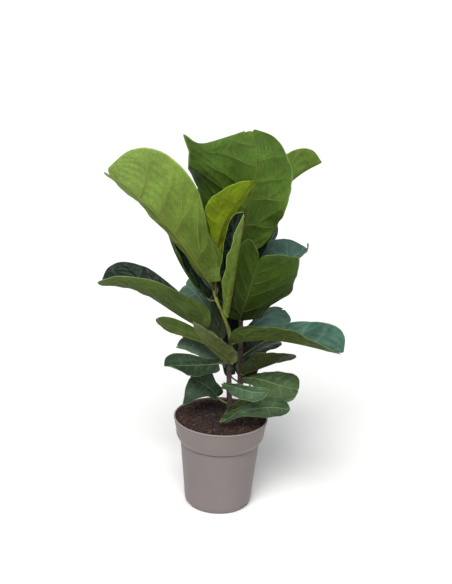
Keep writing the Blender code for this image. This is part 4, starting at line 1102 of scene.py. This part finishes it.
def make_soil(skin):
    """Soil body with a crumbly top."""
    sides = 150
    walls = [(BODY_FOOT_RADIUS - WALL - 0.0020, FLOOR + GAP), (BODY_FOOT_RADIUS - WALL - 0.0007, BODY_FOOT_HEIGHT),
             (NECK_RADIUS - WALL - 0.0007, NECK_HEIGHT - 0.0030),
             (BAND_FOOT_RADIUS - WALL - 0.0008, BAND_FOOT_HEIGHT + 0.0042)]
    edge = RIM_RADIUS - 0.0014 - WALL - 0.0008
    radii = [edge - (edge - 0.001) * (k / 46) for k in range(47)]
    angles = np.linspace(0, 2 * math.pi, sides, endpoint=False)
    rings = [[(r * math.cos(a), r * math.sin(a), z) for a in angles] for r, z in walls]
    for r in radii:
        rings.append([(r * math.cos(a), r * math.sin(a), ground_height(r * math.cos(a), r * math.sin(a)))
                      for a in angles])
    faces = []
    for i in range(len(rings) - 1):
        for k in range(sides):
            m = (k + 1) % sides
            faces.append((i * sides + k, i * sides + m, (i + 1) * sides + m, (i + 1) * sides + k))
    last = (len(rings) - 1) * sides
    faces += [tuple(range(sides - 1, -1, -1)), tuple(range(last, last + sides))]
    return make_piece("soil_bed", np.array(rings).reshape(-1, 3), faces, [skin], ["soil"])


def crumb(rng, place, size):
    """One lump of soil: a rough eight-cornered ball."""
    corners = np.array([(a, b, c) for a in (-1, 1) for b in (-1, 1) for c in (-1, 1)], float) * 0.62
    centres = np.array([(1, 0, 0), (-1, 0, 0), (0, 1, 0), (0, -1, 0), (0, 0, 1), (0, 0, -1)], float)
    points = np.concatenate([corners, centres])
    points = points * np.array([rng.uniform(0.75, 1.25) for _ in range(len(points))])[:, None]
    stretch = np.array([rng.uniform(0.7, 1.4), rng.uniform(0.6, 1.1), rng.uniform(0.5, 0.9)])
    turn = rng.uniform(0, 2 * math.pi)
    rotate = np.array([[math.cos(turn), -math.sin(turn), 0], [math.sin(turn), math.cos(turn), 0], [0, 0, 1]])
    points = (points * stretch * size) @ rotate.T + place
    sides = [(4, 6, 7, 5, 8), (0, 1, 3, 2, 9), (2, 3, 7, 6, 10), (0, 4, 5, 1, 11), (1, 5, 7, 3, 12), (0, 2, 6, 4, 13)]
    faces = []
    for a, b, c, d, top in sides:
        faces += [(a, b, top), (b, c, top), (c, d, top), (d, a, top)]
    return points, faces


def on_soil(rng, spread=0.0965, crowd=0.5):
    """A place on the soil; a crowd below 0.5 gathers the places towards the rim."""
    reach, turn = spread * rng.random() ** crowd, rng.uniform(0, 2 * math.pi)
    return reach * math.cos(turn), reach * math.sin(turn)


def make_crumbs(skins):
    rng = random.Random(7)
    parts = []
    for _ in range(2600):
        x, y = on_soil(rng)
        size = 0.0008 + 0.0026 * rng.random() ** 2.6
        parts.append(crumb(rng, np.array([x, y, ground_height(x, y) + size * 0.25]), size))
    vertices, faces, numbers = joined(parts)
    shade = [rng.choice((0, 0, 0, 0, 0, 1, 1, 1, 1, 1, 1, 2)) for _ in parts]
    return make_piece("soil_crumbs", vertices, faces, skins,
                      face_materials=[shade[n] for n in numbers], smooth=False)


def make_fibres(skins):
    """Short bent fibres and slivers lying in the soil."""
    rng = random.Random(11)
    parts = []
    for _ in range(2300):
        x, y = on_soil(rng, 0.094, 0.34)
        length, turn = rng.uniform(0.004, 0.015), rng.uniform(0, 2 * math.pi)
        bend, tilt = rng.uniform(-0.4, 0.4), rng.uniform(-0.12, 0.22)
        t = np.linspace(-0.5, 0.5, 6)
        px = x + length * (t * math.cos(turn) - bend * t**2 * math.sin(turn))
        py = y + length * (t * math.sin(turn) + bend * t**2 * math.cos(turn))
        radius = rng.uniform(0.00020, 0.00050)
        pz = [ground_height(a, b) + radius + length * tilt * (c + 0.5) for a, b, c in zip(px, py, t)]
        parts.append(tube(np.stack([px, py, pz], -1), radius * np.array([0.5, 1, 1, 1, 0.9, 0.4]), 5, 0.6))
    vertices, faces, numbers = joined(parts)
    return make_piece("soil_fibres", vertices, faces, skins,
                      face_materials=[int(n % 4 == 0) for n in numbers])


def make_camera():
    data = bpy.data.cameras.new("camera")
    data.lens = LENS
    data.sensor_width = 36.0
    data.clip_end = 200.0
    camera = bpy.data.objects.new("camera", data)
    bpy.context.scene.collection.objects.link(camera)
    camera.matrix_world = (Matrix.Translation(CAMERA_PLACE)
                           @ Matrix.Rotation(math.radians(90 - CAMERA_PITCH), 4, "X")
                           @ Matrix.Rotation(math.radians(CAMERA_ROLL), 4, "Z"))
    bpy.context.scene.camera = camera


def sun_light(name, come_from, power, softness, colour):
    """Broad soft lamp far away, so that the floor is as bright everywhere."""
    data = bpy.data.lights.new(name, "SUN")
    data.energy = power
    data.angle = math.radians(softness)
    data.color = colour
    light = bpy.data.objects.new(name, data)
    bpy.context.scene.collection.objects.link(light)
    light.rotation_mode = "QUATERNION"
    light.rotation_quaternion = Vector(come_from).to_track_quat("Z", "Y")
    return light


def make_studio():
    """Pale floor that runs to the horizon, soft sky and two broad lamps."""
    mesh = bpy.data.meshes.new("studio_floor")
    reach = 60.0
    mesh.from_pydata([(-reach, -reach, 0), (reach, -reach, 0), (reach, reach, 0), (-reach, reach, 0)],
                     [], [(0, 1, 2, 3)])
    mesh.materials.append(floor_material())
    floor = bpy.data.objects.new("studio_floor", mesh)
    bpy.context.scene.collection.objects.link(floor)
    world = bpy.data.worlds.new("soft_sky")
    world.use_nodes = True
    tree = world.node_tree
    sky = tree.nodes["Background"]
    place = tree.nodes.new("ShaderNodeTexCoord")
    split = tree.nodes.new("ShaderNodeSeparateXYZ")
    tree.links.new(place.outputs["Generated"], split.inputs[0])
    total = tree.nodes.new("ShaderNodeMath")
    for slot, (start, end, low, high) in enumerate(((0.0, 0.8, SKY_LOW, SKY_HIGH), (0.10, 0.30, HORIZON, 0.0))):
        height = tree.nodes.new("ShaderNodeMapRange")
        height.interpolation_type = "SMOOTHSTEP"
        for key, value in (("From Min", start), ("From Max", end), ("To Min", low), ("To Max", high)):
            height.inputs[key].default_value = value
        tree.links.new(split.outputs[2], height.inputs["Value"])
        tree.links.new(height.outputs["Result"], total.inputs[slot])
    tree.links.new(total.outputs[0], sky.inputs["Strength"])
    sky.inputs["Color"].default_value = (0.965, 0.985, 1.0, 1.0)
    bpy.context.scene.world = world
    sun_light("key", KEY_FROM, KEY_POWER, 36.0, (1.0, 0.985, 0.955))
    sun_light("fill", FILL_FROM, FILL_POWER, 60.0, (0.96, 0.98, 1.0))
    bpy.context.scene.view_settings.view_transform = "Standard"


def main():
    make_camera()
    make_studio()
    skins = {
        "upper": {k: upper_leaf("leaf_upper_" + k, v) for k, v in UPPER_TONES.items()},
        "under": {k: under_leaf("leaf_under_" + k, v) for k, v in UNDER_TONES.items()},
        "petiole": plain_plant("petiole_green", PETIOLE, (92, 96, 46), 55.0, 0.45, stretch=(1, 1, 1)),
        "rib": {k: rib_skin("rib_" + k, v) for k, v in UNDER_TONES.items()},
    }
    bark = bark_material()
    shoot = plain_plant("shoot_green", SHOOT, (92, 88, 36), 70.0, 0.5, 0.0005, (1, 1, 0.3))
    sheath = plain_plant("sheath_brown", SHEATH, (146, 120, 84), 160.0, 0.7, 0.0006, (1, 1, 0.3))
    make_pot(pot_material())
    make_soil(soil_material("soil_bed", SOIL_DARK, SOIL_LIGHT, 160.0))
    make_crumbs([soil_material("crumb_dark", SOIL_DARK, (36, 24, 23), 400.0),
                 soil_material("crumb_brown", (50, 34, 31), SOIL_LIGHT, 400.0),
                 soil_material("crumb_pale", (86, 68, 64), (132, 110, 104), 400.0)])
    make_fibres([soil_material("fibre_red", (74, 42, 34), FIBRE_RED, 300.0),
                 soil_material("fibre_tan", FIBRE_RED, FIBRE_TAN, 300.0)])
    ground = SOIL_CROWN - 0.002
    for stem, seed in (("front", 1.3), ("back", 7.9)):
        top = STEMS[stem][1][-1]
        nodes_at = [row["node"] for row in LEAVES.values() if row["stem"] == stem]
        split = SHOOT_START[stem]
        make_stem(f"bark_{stem}", stem, ground, split, bark, f"stem_{stem}", nodes_at, seed)
        make_stem(f"green_{stem}", stem, split, top, shoot, f"shoot_{stem}", nodes_at, seed)
        make_bud(f"bud_{stem}", stem, shoot)
    make_sheaths(sheath)
    rng = random.Random(3)
    for name, row in LEAVES.items():
        make_leaf(name, row, skins, rng)


main()
